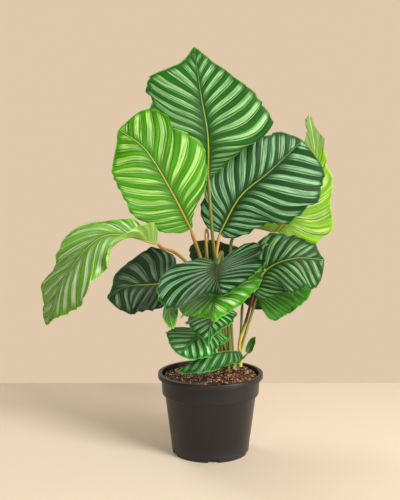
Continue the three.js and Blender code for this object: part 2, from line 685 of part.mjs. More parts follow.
/** The whole plant: the pot, the soil, and a group for each leaf with its stalk and its blade. */
function buildPlant() {
  const plant = new THREE.Group();
  plant.add(piece("pot", potGeometry(), COLOURS.pot, ROUGHNESS.pot));
  plant.add(piece("soil", soilGeometry(), COLOURS.soil, ROUGHNESS.soil));
  for (const leaf of LEAVES) {
    const shoot = new THREE.Group();
    shoot.add(piece(leaf.name + "_stalk", stalkGeometry(leaf), COLOURS[leaf.stalkTone], ROUGHNESS.leaf));
    shoot.add(piece(leaf.name + "_blade", bladeGeometry(leaf), COLOURS[leaf.tone], ROUGHNESS.leaf));
    plant.add(shoot);
  }
  return plant;
}

export default buildPlant();
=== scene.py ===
"""A potted calathea: round, striped and pleated leaves on slim stalks, in a black nursery pot."""

import logging
import math
from bisect import bisect_right
from dataclasses import dataclass, field
from enum import Enum
from typing import Callable, Optional, Sequence, Union

import bpy
from mathutils import Matrix, Vector, noise


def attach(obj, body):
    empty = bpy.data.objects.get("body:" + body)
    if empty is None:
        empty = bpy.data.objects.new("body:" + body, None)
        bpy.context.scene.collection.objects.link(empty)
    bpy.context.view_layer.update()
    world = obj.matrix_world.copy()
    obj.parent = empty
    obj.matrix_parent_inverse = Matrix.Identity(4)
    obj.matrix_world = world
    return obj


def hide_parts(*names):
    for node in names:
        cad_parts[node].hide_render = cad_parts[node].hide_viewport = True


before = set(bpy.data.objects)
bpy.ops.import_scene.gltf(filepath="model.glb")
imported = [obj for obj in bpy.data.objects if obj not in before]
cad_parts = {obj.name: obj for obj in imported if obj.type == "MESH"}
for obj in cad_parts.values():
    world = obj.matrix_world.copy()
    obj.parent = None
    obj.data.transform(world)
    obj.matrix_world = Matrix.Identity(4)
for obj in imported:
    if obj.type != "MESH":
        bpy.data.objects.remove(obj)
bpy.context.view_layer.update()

log = logging.getLogger("calathea")

MM = 0.001
Colour = tuple[float, float, float]
Triple = tuple[float, float, float]
Number = Union[float, "Wire"]


def srgb(red: int, green: int, blue: int) -> Colour:
    """A linear colour from three display values of 0 to 255.

    Args:
        red: The red value.
        green: The green value.
        blue: The blue value.

    Returns:
        The colour that shader sockets take.
    """

    def linear(value: int) -> float:
        """One value as light."""
        share = value / 255
        return share / 12.92 if share <= 0.04045 else ((share + 0.055) / 1.055) ** 2.4

    return linear(red), linear(green), linear(blue)


def lerp(a: float, b: float, share: float) -> float:
    """The value that lies a share of the way from a to b."""
    return a + (b - a) * share


def clamp(value: float) -> float:
    """The value, or the nearer of 0 and 1 where it lies outside them."""
    return min(1.0, max(0.0, value))


def smooth(value: float, low: float, high: float) -> float:
    """0 below low, 1 above high, and an even S between them."""
    share = clamp((value - low) / (high - low))
    return share * share * (3 - 2 * share)


def between(stops: Sequence[float], share: float) -> float:
    """A value from a list of evenly spaced stops.

    Args:
        stops: The values, first to last.
        share: The place among them, from 0 to 1.

    Returns:
        The value at that place.
    """
    if len(stops) == 1:
        return stops[0]
    place = min(share * (len(stops) - 1), len(stops) - 1.001)
    index = int(place)
    return lerp(stops[index], stops[index + 1], place - index)


# ---- Node graphs ---------------------------------------------------------------------------------


class Wire:
    """An output socket that takes part in arithmetic: each operation adds a Math node."""

    def __init__(self, graph: "Graph", socket: Optional[bpy.types.NodeSocket]) -> None:
        """Keeps the socket, which a closing node doesn't have, and the graph that it belongs to."""
        self.graph = graph
        self.socket = socket

    def __add__(self, other: Number) -> "Wire":
        """The sum."""
        return self.graph.math("ADD", self, other)

    __radd__ = __add__

    def __sub__(self, other: Number) -> "Wire":
        """The difference."""
        return self.graph.math("SUBTRACT", self, other)

    def __rsub__(self, other: Number) -> "Wire":
        """The difference the other way round."""
        return self.graph.math("SUBTRACT", other, self)

    def __mul__(self, other: Number) -> "Wire":
        """The product."""
        return self.graph.math("MULTIPLY", self, other)

    __rmul__ = __mul__

    def __truediv__(self, other: Number) -> "Wire":
        """The quotient."""
        return self.graph.math("DIVIDE", self, other)

    def __pow__(self, other: Number) -> "Wire":
        """The power."""
        return self.graph.math("POWER", self, other)

    def __abs__(self) -> "Wire":
        """The absolute value."""
        return self.graph.math("ABSOLUTE", self)

    def out(self, name: str) -> "Wire":
        """Another output of the same node."""
        return Wire(self.graph, pick(self.socket.node.outputs, name))


def pick(sockets: Sequence[bpy.types.NodeSocket], key: Union[str, int]) -> bpy.types.NodeSocket:
    """A node's socket by its name, or by its place, among those that are in use.

    Args:
        sockets: The node's inputs or outputs.
        key: The name or the place.

    Returns:
        The socket.
    """
    used = [socket for socket in sockets if socket.enabled]
    return used[key] if isinstance(key, int) else next(socket for socket in used if socket.name == key)


class Graph:
    """A node tree under construction."""

    def __init__(self, tree: bpy.types.NodeTree) -> None:
        """Starts with an empty tree."""
        self.tree = tree
        tree.nodes.clear()

    def node(self, kind: str, settings: Optional[dict] = None, inputs: Optional[dict] = None,
             output: Union[str, int] = 0) -> Wire:
        """Adds one node.

        Args:
            kind: The node's type.
            settings: Its own properties, and "stops" for a colour ramp: pairs of place and colour.
            inputs: Values or wires for its sockets, by name or place.
            output: The output to return.

        Returns:
            That output.
        """
        made = self.tree.nodes.new(kind)
        for name, value in (settings or {}).items():
            if name == "stops":
                self._set_stops(made.color_ramp, value)
            else:
                setattr(made, name, value)
        for key, value in (inputs or {}).items():
            socket = pick(made.inputs, key)
            if isinstance(value, Wire):
                self.tree.links.new(value.socket, socket)
            elif socket.type == "RGBA" and len(value) == 3:
                socket.default_value = (*value, 1.0)
            else:
                socket.default_value = value
        return Wire(self, pick(made.outputs, output) if made.outputs else None)

    @staticmethod
    def _set_stops(ramp: bpy.types.ColorRamp, stops: Sequence[tuple[float, Colour]]) -> None:
        """Gives a colour ramp its stops.

        Args:
            ramp: The ramp of a new node, which has two stops.
            stops: Pairs of place and colour.
        """
        while len(ramp.elements) < len(stops):
            ramp.elements.new(1.0)
        for element, (place, colour) in zip(ramp.elements, stops):
            element.position = place
            element.color = (*colour, 1.0)

    def math(self, operation: str, first: Number, second: Optional[Number] = None) -> Wire:
        """A Math node on one or two values."""
        inputs = {0: first} if second is None else {0: first, 1: second}
        return self.node("ShaderNodeMath", {"operation": operation}, inputs)

    def vector(self, operation: str, first: Union[Wire, Triple], second: Union[Wire, Triple, float]) -> Wire:
        """A Vector Math node. For SCALE, the second value is the factor."""
        key = "Scale" if operation == "SCALE" else 1
        return self.node("ShaderNodeVectorMath", {"operation": operation}, {0: first, key: second})

    def step(self, value: Wire, low: float, high: float) -> Wire:
        """0 below low, 1 above high, and an even S between them."""
        return self.node("ShaderNodeMapRange", {"interpolation_type": "SMOOTHSTEP"},
                         {"Value": value, "From Min": low, "From Max": high})

    def sine(self, value: Number) -> Wire:
        """The sine of a value."""
        return self.math("SINE", value)

    def triple(self, x: Number, y: Number, z: Number) -> Wire:
        """A vector from three values."""
        return self.node("ShaderNodeCombineXYZ", None, {"X": x, "Y": y, "Z": z})


class Shader(Graph):
    """A material's node graph, with the shorthands that the finishes use."""

    def __init__(self, name: str) -> None:
        """Makes an empty node material."""
        self.material = bpy.data.materials.new(name)
        self.material.use_nodes = True
        super().__init__(self.material.node_tree)

    def attribute(self, name: str) -> Wire:
        """A number that the mesh carries."""
        return self.node("ShaderNodeAttribute", {"attribute_name": name}, None, "Fac")

    def place(self, scale: Triple = (1, 1, 1)) -> Wire:
        """The object's own coordinates, stretched along each axis."""
        coordinates = self.node("ShaderNodeTexCoord", None, None, "Object")
        return self.vector("MULTIPLY", coordinates, scale)

    def noise(self, place: Wire, scale: float, detail: float, roughness: float = 0.55) -> Wire:
        """Soft noise of about 0 to 1 at a place."""
        return self.node("ShaderNodeTexNoise", {"noise_dimensions": "3D"},
                         {"Vector": place, "Scale": scale, "Detail": detail, "Roughness": roughness}, "Fac")

    def mix(self, first: Union[Wire, Colour], second: Union[Wire, Colour], share: Number) -> Wire:
        """A colour that lies a share of the way from the first to the second."""
        return self.node("ShaderNodeMix", {"data_type": "RGBA", "clamp_factor": True},
                         {"Factor": share, "A": first, "B": second})

    def tint(self, colour: Union[Wire, Colour], strength: Number) -> Wire:
        """A colour made lighter or darker by a factor that may vary."""
        settings = {"data_type": "RGBA", "blend_type": "MULTIPLY", "clamp_result": False}
        return self.node("ShaderNodeMix", settings,
                         {"Factor": 1.0, "A": colour, "B": self.triple(strength, strength, strength)})

    def bump(self, height: Wire, depth: float, strength: float = 1.0) -> Wire:
        """A surface relief of a depth in metres."""
        return self.node("ShaderNodeBump", None, {"Height": height, "Distance": depth, "Strength": strength})

    def finish(self, inputs: dict) -> bpy.types.Material:
        """Closes the graph with one physically based shader.

        Args:
            inputs: Values or wires for the shader's sockets, by name.

        Returns:
            The material.
        """
        shader = self.node("ShaderNodeBsdfPrincipled", None, inputs)
        self.node("ShaderNodeOutputMaterial", None, {"Surface": shader})
        return self.material


class Shaper(Graph):
    """A Geometry Nodes tree with named inputs."""

    def __init__(self, name: str, sizes: dict[str, float], counts: Optional[dict[str, int]] = None) -> None:
        """Makes a tree that takes a geometry, the named sizes and counts, and a material.

        Args:
            name: The tree's name.
            sizes: Its number inputs, with their defaults.
            counts: Its whole-number inputs, with their defaults.
        """
        super().__init__(bpy.data.node_groups.new(name, "GeometryNodeTree"))
        face = self.tree.interface
        face.new_socket("Geometry", in_out="INPUT", socket_type="NodeSocketGeometry")
        face.new_socket("Geometry", in_out="OUTPUT", socket_type="NodeSocketGeometry")
        for label, value in sizes.items():
            face.new_socket(label, in_out="INPUT", socket_type="NodeSocketFloat").default_value = value
        for label, value in (counts or {}).items():
            face.new_socket(label, in_out="INPUT", socket_type="NodeSocketInt").default_value = value
        face.new_socket("Material", in_out="INPUT", socket_type="NodeSocketMaterial")
        self.given = self.node("NodeGroupInput", None, None, "Geometry")

    def size(self, label: str) -> Wire:
        """One of the tree's named inputs."""
        return self.given.out(label)

    def named(self, name: str, data_type: str = "FLOAT") -> Wire:
        """A value that the geometry carries."""
        return self.node("GeometryNodeInputNamedAttribute", {"data_type": data_type}, {"Name": name})

    def store(self, geometry: Wire, name: str, value: Number) -> Wire:
        """Writes a number on each point of the geometry."""
        return self.node("GeometryNodeStoreNamedAttribute", {"data_type": "FLOAT", "domain": "POINT"},
                         {"Geometry": geometry, "Name": name, "Value": value})

    def random(self, low: Union[float, Triple], high: Union[float, Triple], seed: Number,
               data_type: str = "FLOAT") -> Wire:
        """A random number or vector between two limits, for each point."""
        return self.node("FunctionNodeRandomValue", {"data_type": data_type},
                         {"Min": low, "Max": high, "Seed": seed})

    def close(self, geometry: Wire) -> None:
        """Ends the tree with real geometry that carries the given material.

        Args:
            geometry: The tree's result, which may hold instances.
        """
        real = self.node("GeometryNodeRealizeInstances", None, {"Geometry": geometry})
        dressed = self.node("GeometryNodeSetMaterial", None,
                            {"Geometry": real, "Material": self.size("Material")})
        self.node("NodeGroupOutput", None, {"Geometry": dressed})

    def apply(self, piece: bpy.types.Object, values: dict) -> None:
        """Runs the tree on an object and keeps the result as its plain mesh.

        Args:
            piece: The object that holds the starting geometry.
            values: Values for the tree's inputs, by name.
        """
        modifier = piece.modifiers.new(self.tree.name, "NODES")
        modifier.node_group = self.tree
        for item in self.tree.interface.items_tree:
            if item.in_out == "INPUT" and item.name in values:
                modifier[item.identifier] = values[item.name]
        bake(piece)


# ---- Meshes --------------------------------------------------------------------------------------


def bake(piece: bpy.types.Object) -> None:
    """Turns what an object's modifiers make into its plain mesh.

    Args:
        piece: The object.
    """
    graph = bpy.context.evaluated_depsgraph_get()
    made = bpy.data.meshes.new_from_object(piece.evaluated_get(graph))
    piece.modifiers.clear()
    piece.data = made
    made.name = piece.name


def place_object(name: str, data: bpy.types.ID) -> bpy.types.Object:
    """Puts a new object at the scene's origin.

    Args:
        name: The object's name.
        data: Its mesh, light or camera.

    Returns:
        The object.
    """
    placed = bpy.data.objects.new(name, data)
    bpy.context.scene.collection.objects.link(placed)
    return placed


def make_piece(name: str, points: Sequence[Vector], faces: Sequence[Sequence[int]],
               edges: Sequence[Sequence[int]] = ()) -> bpy.types.Object:
    """A new object at the origin with a mesh of the given points, in metres.

    Args:
        name: The object's name.
        points: The places of its vertices.
        faces: The corners of each face.
        edges: The ends of each loose edge.

    Returns:
        The object, linked to the scene.
    """
    mesh = bpy.data.meshes.new(name)
    mesh.from_pydata([tuple(point) for point in points], [tuple(edge) for edge in edges],
                     [tuple(face) for face in faces])
    return place_object(name, mesh)


def ring(radius: float, height: Union[float, Callable[[float, float], float]], sides: int) -> list[Vector]:
    """Points round the upright axis.

    Args:
        radius: Their distance from the axis, in millimetres.
        height: Their height, or a function that gives it for a place across and in depth.
        sides: How many there are.

    Returns:
        The points, in metres.
    """
    points = []
    for i in range(sides):
        angle = 2 * math.pi * i / sides
        x, y = radius * math.cos(angle), radius * math.sin(angle)
        points.append(Vector((x, y, height(x, y) if callable(height) else height)) * MM)
    return points


def ringed_body(name: str, rings: Sequence[Sequence[Vector]], from_top: bool = False) -> bpy.types.Object:
    """A closed body of rings about the upright axis.

    Args:
        name: The object's name.
        rings: The first and the last are one point each, and the others have as many points as each other.
        from_top: Whether the rings start at the top and run down the outside, not up it from the foot.

    Returns:
        The object.
    """
    points = [point for one in rings for point in one]
    sides, last = len(rings[1]), len(points) - 1
    faces = []
    for i in range(sides):
        j = (i + 1) % sides
        faces.append((0, 1 + j, 1 + i))
        for near in range(1, last - sides, sides):
            far = near + sides
            faces.append((near + i, near + j, far + j, far + i))
        faces.append((last, last - sides + i, last - sides + j))
    if from_top:
        faces = [(face[0], *reversed(face[1:])) for face in faces]
    return make_piece(name, points, faces)


def carry(piece: bpy.types.Object, name: str, values: Sequence) -> None:
    """Writes one number, or one vector, on each vertex of a piece.

    Args:
        piece: The object.
        name: The attribute's name.
        values: A value for each vertex.
    """
    is_vector = not isinstance(values[0], (int, float))
    layer = piece.data.attributes.new(name, "FLOAT_VECTOR" if is_vector else "FLOAT", "POINT")
    flat = [part for value in values for part in value] if is_vector else values
    layer.data.foreach_set("vector" if is_vector else "value", flat)


def soften(piece: bpy.types.Object, angle: float) -> None:
    """Shades a piece smooth, except at edges sharper than an angle in degrees."""
    piece.data.shade_smooth()
    piece.data.set_sharp_from_angle(angle=math.radians(angle))


def settle(piece: bpy.types.Object, slot: str, *nodes: str) -> None:
    """Hands a finished piece to the frame.

    Args:
        piece: The object.
        slot: The record's material slot; not used.
        *nodes: The CAD nodes that it stands for.
    """
    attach(piece, "root")
    if nodes:
        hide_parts(*nodes)
    log.info("%s: %d faces", piece.name, len(piece.data.polygons))


class Path:
    """A smooth curve through points, read by the share of its length."""

    SAMPLES = 300

    def __init__(self, points: Sequence[Vector]) -> None:
        """Samples a centripetal spline finely enough to read it by length.

        Args:
            points: The points that it passes.
        """
        samples = self.SAMPLES
        self.points = [Vector(point) for point in points]
        self.places = [self._spline(i / samples) for i in range(samples + 1)]
        self.lengths = [0.0]
        for near, far in zip(self.places, self.places[1:]):
            self.lengths.append(self.lengths[-1] + (far - near).length)
        self.length = self.lengths[-1]
        self.tangents = [(self.places[min(i + 1, samples)] - self.places[max(i - 1, 0)]).normalized()
                         for i in range(samples + 1)]

    def _spline(self, t: float) -> Vector:
        """A point of the spline.

        Args:
            t: The spline's own parameter, from 0 at the start to 1 at the end.

        Returns:
            The point.
        """
        points = self.points
        place = (len(points) - 1) * t
        index = min(int(place), len(points) - 2)
        rest = place - index
        p1, p2 = points[index], points[index + 1]
        p0 = points[index - 1] if index > 0 else p1 * 2 - p2
        p3 = points[index + 2] if index + 2 < len(points) else p2 * 2 - p1
        d0, d1, d2 = (max((b - a).length ** 0.5, 1e-6) for a, b in ((p0, p1), (p1, p2), (p2, p3)))
        start = ((p1 - p0) / d0 - (p2 - p0) / (d0 + d1) + (p2 - p1) / d1) * d1
        end = ((p2 - p1) / d1 - (p3 - p1) / (d1 + d2) + (p3 - p2) / d2) * d1
        square = rest * rest
        return (p1 + start * rest + (p2 * 3 - p1 * 3 - start * 2 - end) * square
                + (p1 * 2 - p2 * 2 + start + end) * square * rest)

    def read(self, share: float) -> tuple[Vector, Vector]:
        """The point and the direction at a share of the length.

        Args:
            share: From 0 at the start to 1 at the end. Past either end, the curve runs on straight.

        Returns:
            The point and the unit tangent.
        """
        inside = clamp(share)
        target = inside * self.length
        high = min(bisect_right(self.lengths, target), len(self.lengths) - 1)
        low = high - 1
        span = self.lengths[high] - self.lengths[low]
        rest = (target - self.lengths[low]) / span if span else 0.0
        point = self.places[low].lerp(self.places[high], rest)
        tangent = self.tangents[low].lerp(self.tangents[high], rest).normalized()
        return point + tangent * ((share - inside) * self.length), tangent


# ---- The leaves' plan, in millimetres ------------------------------------------------------------


class Tone(Enum):
    """The material slots of the blades."""

    DARK = "leaf_dark"
    MID = "leaf_mid"
    BRIGHT = "leaf_bright"
    LIME = "leaf_lime"


class StalkTone(Enum):
    """The material slots of the stalks."""

    TAN = "stalk_tan"
    OLIVE = "stalk_olive"
    RED = "stalk_red"
    GREEN = "stalk_green"


@dataclass(frozen=True)
class Half:
    """One half of a blade.

    shape scales the half width at even stations, belly moves its widest place towards the tip, lobe draws it
    back past the stalk, fold (degrees) lifts it out of the midrib's plane, and curl (degrees) bends it on
    towards the margin.
    """

    width: float
    shape: tuple[float, ...]
    belly: float
    lobe: float
    fold: tuple[float, ...]
    curl: float = -8


@dataclass(frozen=True)
class Wave:
    """The slow waves of a blade's margin."""

    height: float
    count: float
    phase: float


@dataclass(frozen=True)
class StalkPlan:
    """A stalk's place in the crown, its radius, and the points that it passes on its way up."""

    spot: int
    radius: float
    by: tuple[Triple, ...]


@dataclass(frozen=True)
class LeafLook:
    """A blade's own colours, and how strongly they show.

    band is the green between the stripes, pale the stripes themselves, edge the thin margin, rib and rib_tip
    the midrib at the stalk and at the tip, and under the lower face. stripe is how far the stripes stand out,
    gloss the roughness that is taken off, and turned the share of the length past which the upper face takes
    the back's colours, or more than 1 where it never does.
    """

    band: Colour
    pale: Colour
    edge: Colour
    rib: Colour
    rib_tip: Colour
    under: Colour
    stripe: float = 1.0
    gloss: float = 0.0
    turned: float = 2.0


@dataclass(frozen=True)
class Leaf:
    """A leaf: the midrib from stalk to tip, the way its upper face looks, its halves and its stalk.

    rib and facing run from the stalk to the tip. pleats is how many each half has, drip the share of the
    length that the drawn-out tip takes, and sweep how far the side veins slant forward from the midrib.
    """

    name: str
    tone: Tone
    stalk_tone: StalkTone
    rib: tuple[Triple, ...]
    facing: tuple[Triple, ...]
    left: Half
    right: Half
    pleats: int
    stalk: StalkPlan
    look: LeafLook
    drip: float = 0.03
    wave: Wave = Wave(4, 3, 0)
    sweep: float = 2.3


LEAVES = (
    Leaf(
        name="leaf_01_top", tone=Tone.DARK, stalk_tone=StalkTone.OLIVE,
        rib=((-4, 20, 496), (-5, 8, 571), (-17, 8, 640), (-30, 34, 728)),
        facing=((0, -1, 0.1), (0, -1, 0.2)),
        left=Half(104, (0.9, 0.9, 0.95, 0.97, 0.98, 0.9, 0.88, 1.01, 1.1, 0.55, 0.36), 0.85, 0.05, (4,)),
        right=Half(125, (0.15, 0.18, 0.24, 0.33, 0.54, 0.93, 0.86, 0.75, 0.6, 0.5, 0.38), 1.4, 0, (6,), -10),
        drip=0.07, pleats=20,
        stalk=StalkPlan(1, 3.1, ((20, 44, 260), (5, 30, 380), (-1, 22, 450))),
        look=LeafLook(srgb(24, 78, 14), srgb(132, 178, 114), srgb(80, 146, 30),
                      srgb(150, 166, 56), srgb(66, 126, 46), srgb(108, 146, 82)),
    ),
    Leaf(
        name="leaf_02_left_young", tone=Tone.BRIGHT, stalk_tone=StalkTone.TAN,
        rib=((-35, -5, 406), (-72, -25, 479), (-115, -30, 547), (-160, -20, 580)),
        facing=((0.1, -1, 0.2), (0, -1, 0.3)),
        left=Half(88, (0.75, 0.79, 0.84, 0.88, 0.95, 0.9, 0.89, 0.95, 1.03, 0.88, 0.54), 1, 0, (4,)),
        right=Half(96, (0.18, 0.18, 0.36, 0.63, 0.82, 0.93, 0.87, 0.77, 0.92, 1.15, 1.25), 1, 0, (4,)),
        pleats=14, wave=Wave(4, 3, 1),
        stalk=StalkPlan(4, 3.2, ((8, 38, 260), (-18, 27, 350), (-30, 4, 388))),
        look=LeafLook(srgb(54, 116, 0), srgb(148, 194, 98), srgb(96, 168, 20),
                      srgb(176, 140, 64), srgb(144, 184, 84), srgb(130, 176, 74), 1, 0.06),
    ),
    Leaf(
        name="leaf_03_right_dark", tone=Tone.DARK, stalk_tone=StalkTone.TAN,
        rib=((18, 45, 395), (55, 40, 462), (109, 45, 508), (169, 61, 564)),
        facing=((0, -1, 0.2), (0, -1, 0.3)),
        left=Half(92, (0.77, 0.68, 0.79, 0.76, 0.76, 0.82, 0.85, 0.78, 0.73, 0.9, 0.78), 1, 0.05, (4,)),
        right=Half(96, (0.3, 0.47, 0.7, 0.76, 0.87, 0.98, 1.05, 1.16, 1.22, 1.38, 1.7), 1, 0.05, (4,)),
        pleats=15, wave=Wave(4, 3, 2),
        stalk=StalkPlan(6, 3, ((24, 52, 260), (11, 44, 345))),
        look=LeafLook(srgb(8, 52, 4), srgb(126, 176, 126), srgb(60, 122, 32),
                      srgb(140, 164, 36), srgb(84, 140, 60), srgb(104, 140, 86), 1, 0.02),
    ),
    Leaf(
        name="leaf_04_far_right_lime", tone=Tone.LIME, stalk_tone=StalkTone.OLIVE,
        rib=((128, 90, 395), (172, 100, 450), (197, 100, 530), (184, 85, 612)),
        facing=((0.2, -1, 0.2), (0.3, -1, 0.3)),
        left=Half(75, (1, 1, 1, 1, 0.9, 0.8, 0.6, 0.42, 0.3, 0.22, 0.4), 1, 0.1, (4,)),
        right=Half(88, (1.05, 1.1, 1.1, 0.99, 0.68, 0.59, 0.32, 0.29, 0.24, 0.18, 0.16), 1, 0.1, (4,)),
        pleats=14, wave=Wave(4, 3, 0.5),
        stalk=StalkPlan(3, 3, ((38, 60, 260), (37, 66, 350), (44, 72, 385), (80, 84, 402))),
        # Painted light: the lime colours are partly the young leaf's own and partly light shining through it.
        look=LeafLook(srgb(98, 144, 10), srgb(152, 184, 90), srgb(146, 186, 44),
                      srgb(180, 130, 60), srgb(160, 200, 90), srgb(106, 138, 70), 0.9, 0.02, 0.7),
    ),
    Leaf(
        name="leaf_05_drooping_left", tone=Tone.BRIGHT, stalk_tone=StalkTone.TAN,
        rib=((-93, -56, 386), (-182, -66, 398), (-247, -74, 330), (-284, -64, 244)),
        facing=((0, -0.1, 1), (-0.5, -0.7, 0.6), (-0.75, -0.6, 0.4), (-0.7, -0.6, 0.3)),
        left=Half(85, (1.05, 1.05, 0.95, 0.85, 0.79, 0.79, 0.89, 1.04, 0.74, 0.52, 0.28), 1, 0,
                  (66, 56, 0, 0, 0)),
        right=Half(85, (0.4, 0.42, 0.42, 0.35, 0.42, 0.66, 0.7, 0.7, 1.05, 0.85, 1.1), 1, 0,
                   (68, 58, 10, 0, 0)),
        pleats=17, wave=Wave(5, 4, 0),
        stalk=StalkPlan(9, 2.9, ((0, 38, 260), (-30, 38, 325), (-62, 30, 358), (-85, -12, 372))),
        # Painted light: the bright colours are partly the young leaf's own and partly make up for the dimmer
        # light on the left.
        look=LeafLook(srgb(106, 168, 52), srgb(200, 224, 174), srgb(124, 186, 40),
                      srgb(196, 178, 110), srgb(190, 205, 150), srgb(146, 196, 86), 1.05, 0.06),
    ),
    Leaf(
        name="leaf_06_dark_left", tone=Tone.DARK, stalk_tone=StalkTone.OLIVE,
        rib=((-66, 25, 305), (-110, 37, 300), (-156, 40, 295), (-189, 30, 276)),
        facing=((0, -0.75, 0.65), (0, -0.75, 0.65)),
        left=Half(80, (0.8, 0.75, 0.75, 0.8, 1.2), 1, 0.05, (4,)),
        right=Half(80, (1, 1.03, 1.07, 1.1, 1.08, 1, 0.8, 0.48, 0.28, 0.22, 0.2), 1, 0.05, (4,)),
        pleats=11, wave=Wave(5, 3, 0),
        stalk=StalkPlan(17, 2.8, ((-8, 44, 230), (-38, 40, 285))),
        # Painted shade: the dark, greyish colours are partly the leaf's own and partly the shade that it
        # hangs in.
        look=LeafLook(srgb(30, 54, 30), srgb(106, 130, 100), srgb(50, 86, 40),
                      srgb(150, 160, 50), srgb(80, 100, 60), srgb(80, 95, 75), 0.9, -0.05),
    ),
    Leaf(
        name="leaf_07_big_front", tone=Tone.DARK, stalk_tone=StalkTone.OLIVE,
        rib=((12, -20, 343), (9, -75, 336), (10, -125, 326), (16, -160, 310)),
        facing=((-0.1, -0.35, 0.9), (-0.42, -0.35, 0.85), (-0.42, -0.35, 0.85)),
        left=Half(85, (1.2, 1.29, 1.4, 1.29, 1.17, 1.09, 1.04, 1, 1, 0.94, 0.63), 1, 0.2, (42, 20, 0, -8)),
        right=Half(95, (0.5, 0.6, 0.8, 1.15, 1.18, 1.1, 0.98, 0.6, 0.3, 0.22, 0.2), 1, 0.3,
                   (30, 8, -12, -12)),
        pleats=17, wave=Wave(5, 3, 0),
        stalk=StalkPlan(0, 3.2, ((30, 38, 260), (22, 32, 340), (20, 14, 362), (15, -8, 354))),
        look=LeafLook(srgb(6, 56, 8), srgb(142, 188, 142), srgb(62, 134, 26),
                      srgb(44, 92, 30), srgb(84, 130, 70), srgb(104, 142, 80), 1, -0.08),
    ),
    Leaf(
        name="leaf_08_under_front", tone=Tone.BRIGHT, stalk_tone=StalkTone.OLIVE,
        rib=((13, -30, 311), (7, -75, 303), (3, -115, 291), (4, -138, 263)),
        facing=((-0.1, -0.35, 0.9), (-0.42, -0.35, 0.85), (-0.42, -0.35, 0.85)),
        left=Half(88, (1.3, 1.3, 1.36, 1.19, 1.09, 1.02, 0.97, 0.86, 0.84, 0.57, 0.28), 1, 0.12,
                  (30, 15, 0, -8)),
        right=Half(72, (1.1, 1.1, 1.08, 1.05, 1, 0.96, 0.96, 0.86, 0.7, 0.38, 0.2), 1, 0.12,
                   (15, 0, -10, -10)),
        drip=0.05, pleats=13, wave=Wave(4, 3, 1),
        stalk=StalkPlan(2, 2.8, ((32, 20, 240), (28, 8, 300), (22, -10, 320))),
        look=LeafLook(srgb(70, 158, 28), srgb(200, 238, 156), srgb(112, 190, 50),
                      srgb(90, 140, 60), srgb(110, 160, 80), srgb(120, 165, 80), 1, 0.06),
    ),
    Leaf(
        name="leaf_09_drip_tip", tone=Tone.DARK, stalk_tone=StalkTone.OLIVE,
        rib=((9, -25, 267), (3, -60, 259), (-2, -90, 244), (-6, -108, 216)),
        facing=((-0.1, -0.3, 0.95), (-0.1, -0.5, 0.85)),
        left=Half(40, (1.5, 1.5, 1.3, 1.15, 1, 0.82, 0.75, 0.65, 0.45, 0.3, 0.3), 1, 0.1, (-8,)),
        right=Half(52, (1.2, 1.2, 1.15, 1.05, 0.99, 0.9, 0.82, 0.77, 0.72, 0.62, 0.5), 1, 0.1, (-8,)),
        drip=0.12, pleats=11, wave=Wave(3, 3, 2),
        stalk=StalkPlan(7, 2.5, ((22, 14, 220), (18, 2, 262), (14, -14, 276))),
        look=LeafLook(srgb(20, 90, 18), srgb(178, 228, 168), srgb(84, 164, 48),
                      srgb(80, 130, 60), srgb(90, 140, 60), srgb(96, 136, 76), 1, 0.04),
    ),
    Leaf(
        name="leaf_10_low_left", tone=Tone.MID, stalk_tone=StalkTone.OLIVE,
        rib=((6, -10, 225), (-12, -45, 226), (-33, -75, 217), (-54, -92, 198)),
        facing=((0, -0.4, 0.9), (0, -0.5, 0.85)),
        left=Half(46, (1.1, 0.9, 0.9, 1, 1.1), 1, 0.1, (-8,)),
        right=Half(66, (0.7, 0.92, 1.02, 1, 1), 1, 0.05, (-8,)),
        drip=0.04, pleats=12, wave=Wave(3, 3, 0),
        stalk=StalkPlan(15, 2.4, ((22, 8, 200), (14, 0, 222))),
        look=LeafLook(srgb(22, 94, 18), srgb(160, 210, 148), srgb(82, 164, 48),
                      srgb(80, 130, 60), srgb(90, 150, 70), srgb(100, 140, 80), 1, 0.04),
    ),
    Leaf(
        name="leaf_11_over_soil", tone=Tone.MID, stalk_tone=StalkTone.GREEN,
        rib=((53, 0, 184), (20, -45, 193), (-19, -75, 189), (-57, -85, 168)),
        facing=((0, -0.1, 1), (0, -0.2, 1)),
        left=Half(32, (0.9, 1, 1, 1, 1), 1, 0, (-34, -28)),
        right=Half(40, (1, 1, 1, 1, 1), 1, 0, (-55, -38)),
        drip=0.04, pleats=11, wave=Wave(3, 3, 0),
        stalk=StalkPlan(10, 2.3, ((52, 14, 172),)),
        look=LeafLook(srgb(22, 76, 22), srgb(110, 150, 104), srgb(66, 140, 44),
                      srgb(90, 140, 60), srgb(100, 150, 70), srgb(105, 145, 90), 0.9, 0.05),
    ),
    Leaf(
        name="leaf_12_right", tone=Tone.DARK, stalk_tone=StalkTone.RED,
        rib=((78, 8, 289), (103, 2, 334), (152, 0, 353), (205, 10, 349)),
        facing=((-0.3, -0.85, 0.4), (0, -0.85, 0.5)),
        left=Half(62, (0.9, 0.9, 0.92, 0.93, 0.9, 0.92, 0.89, 0.76, 0.72, 0.75, 0.45), 1, 0.05, (4,)),
        right=Half(60, (0.75, 0.78, 0.9, 1.03, 1.03, 1.02, 1.02, 1.05, 1.15, 1.55, 1.9), 1, 0.05, (-10,)),
        pleats=16,
        stalk=StalkPlan(13, 2.8, ((54, 38, 190), (66, 27, 236))),
        look=LeafLook(srgb(4, 46, 2), srgb(116, 164, 100), srgb(60, 128, 24),
                      srgb(120, 150, 40), srgb(110, 150, 60), srgb(100, 136, 76)),
    ),
    Leaf(
        name="leaf_13_under_right", tone=Tone.MID, stalk_tone=StalkTone.GREEN,
        rib=((86, 42, 274), (119, 52, 286), (153, 52, 293), (188, 45, 291)),
        facing=((0, -0.6, 0.75), (0, -0.6, 0.75)),
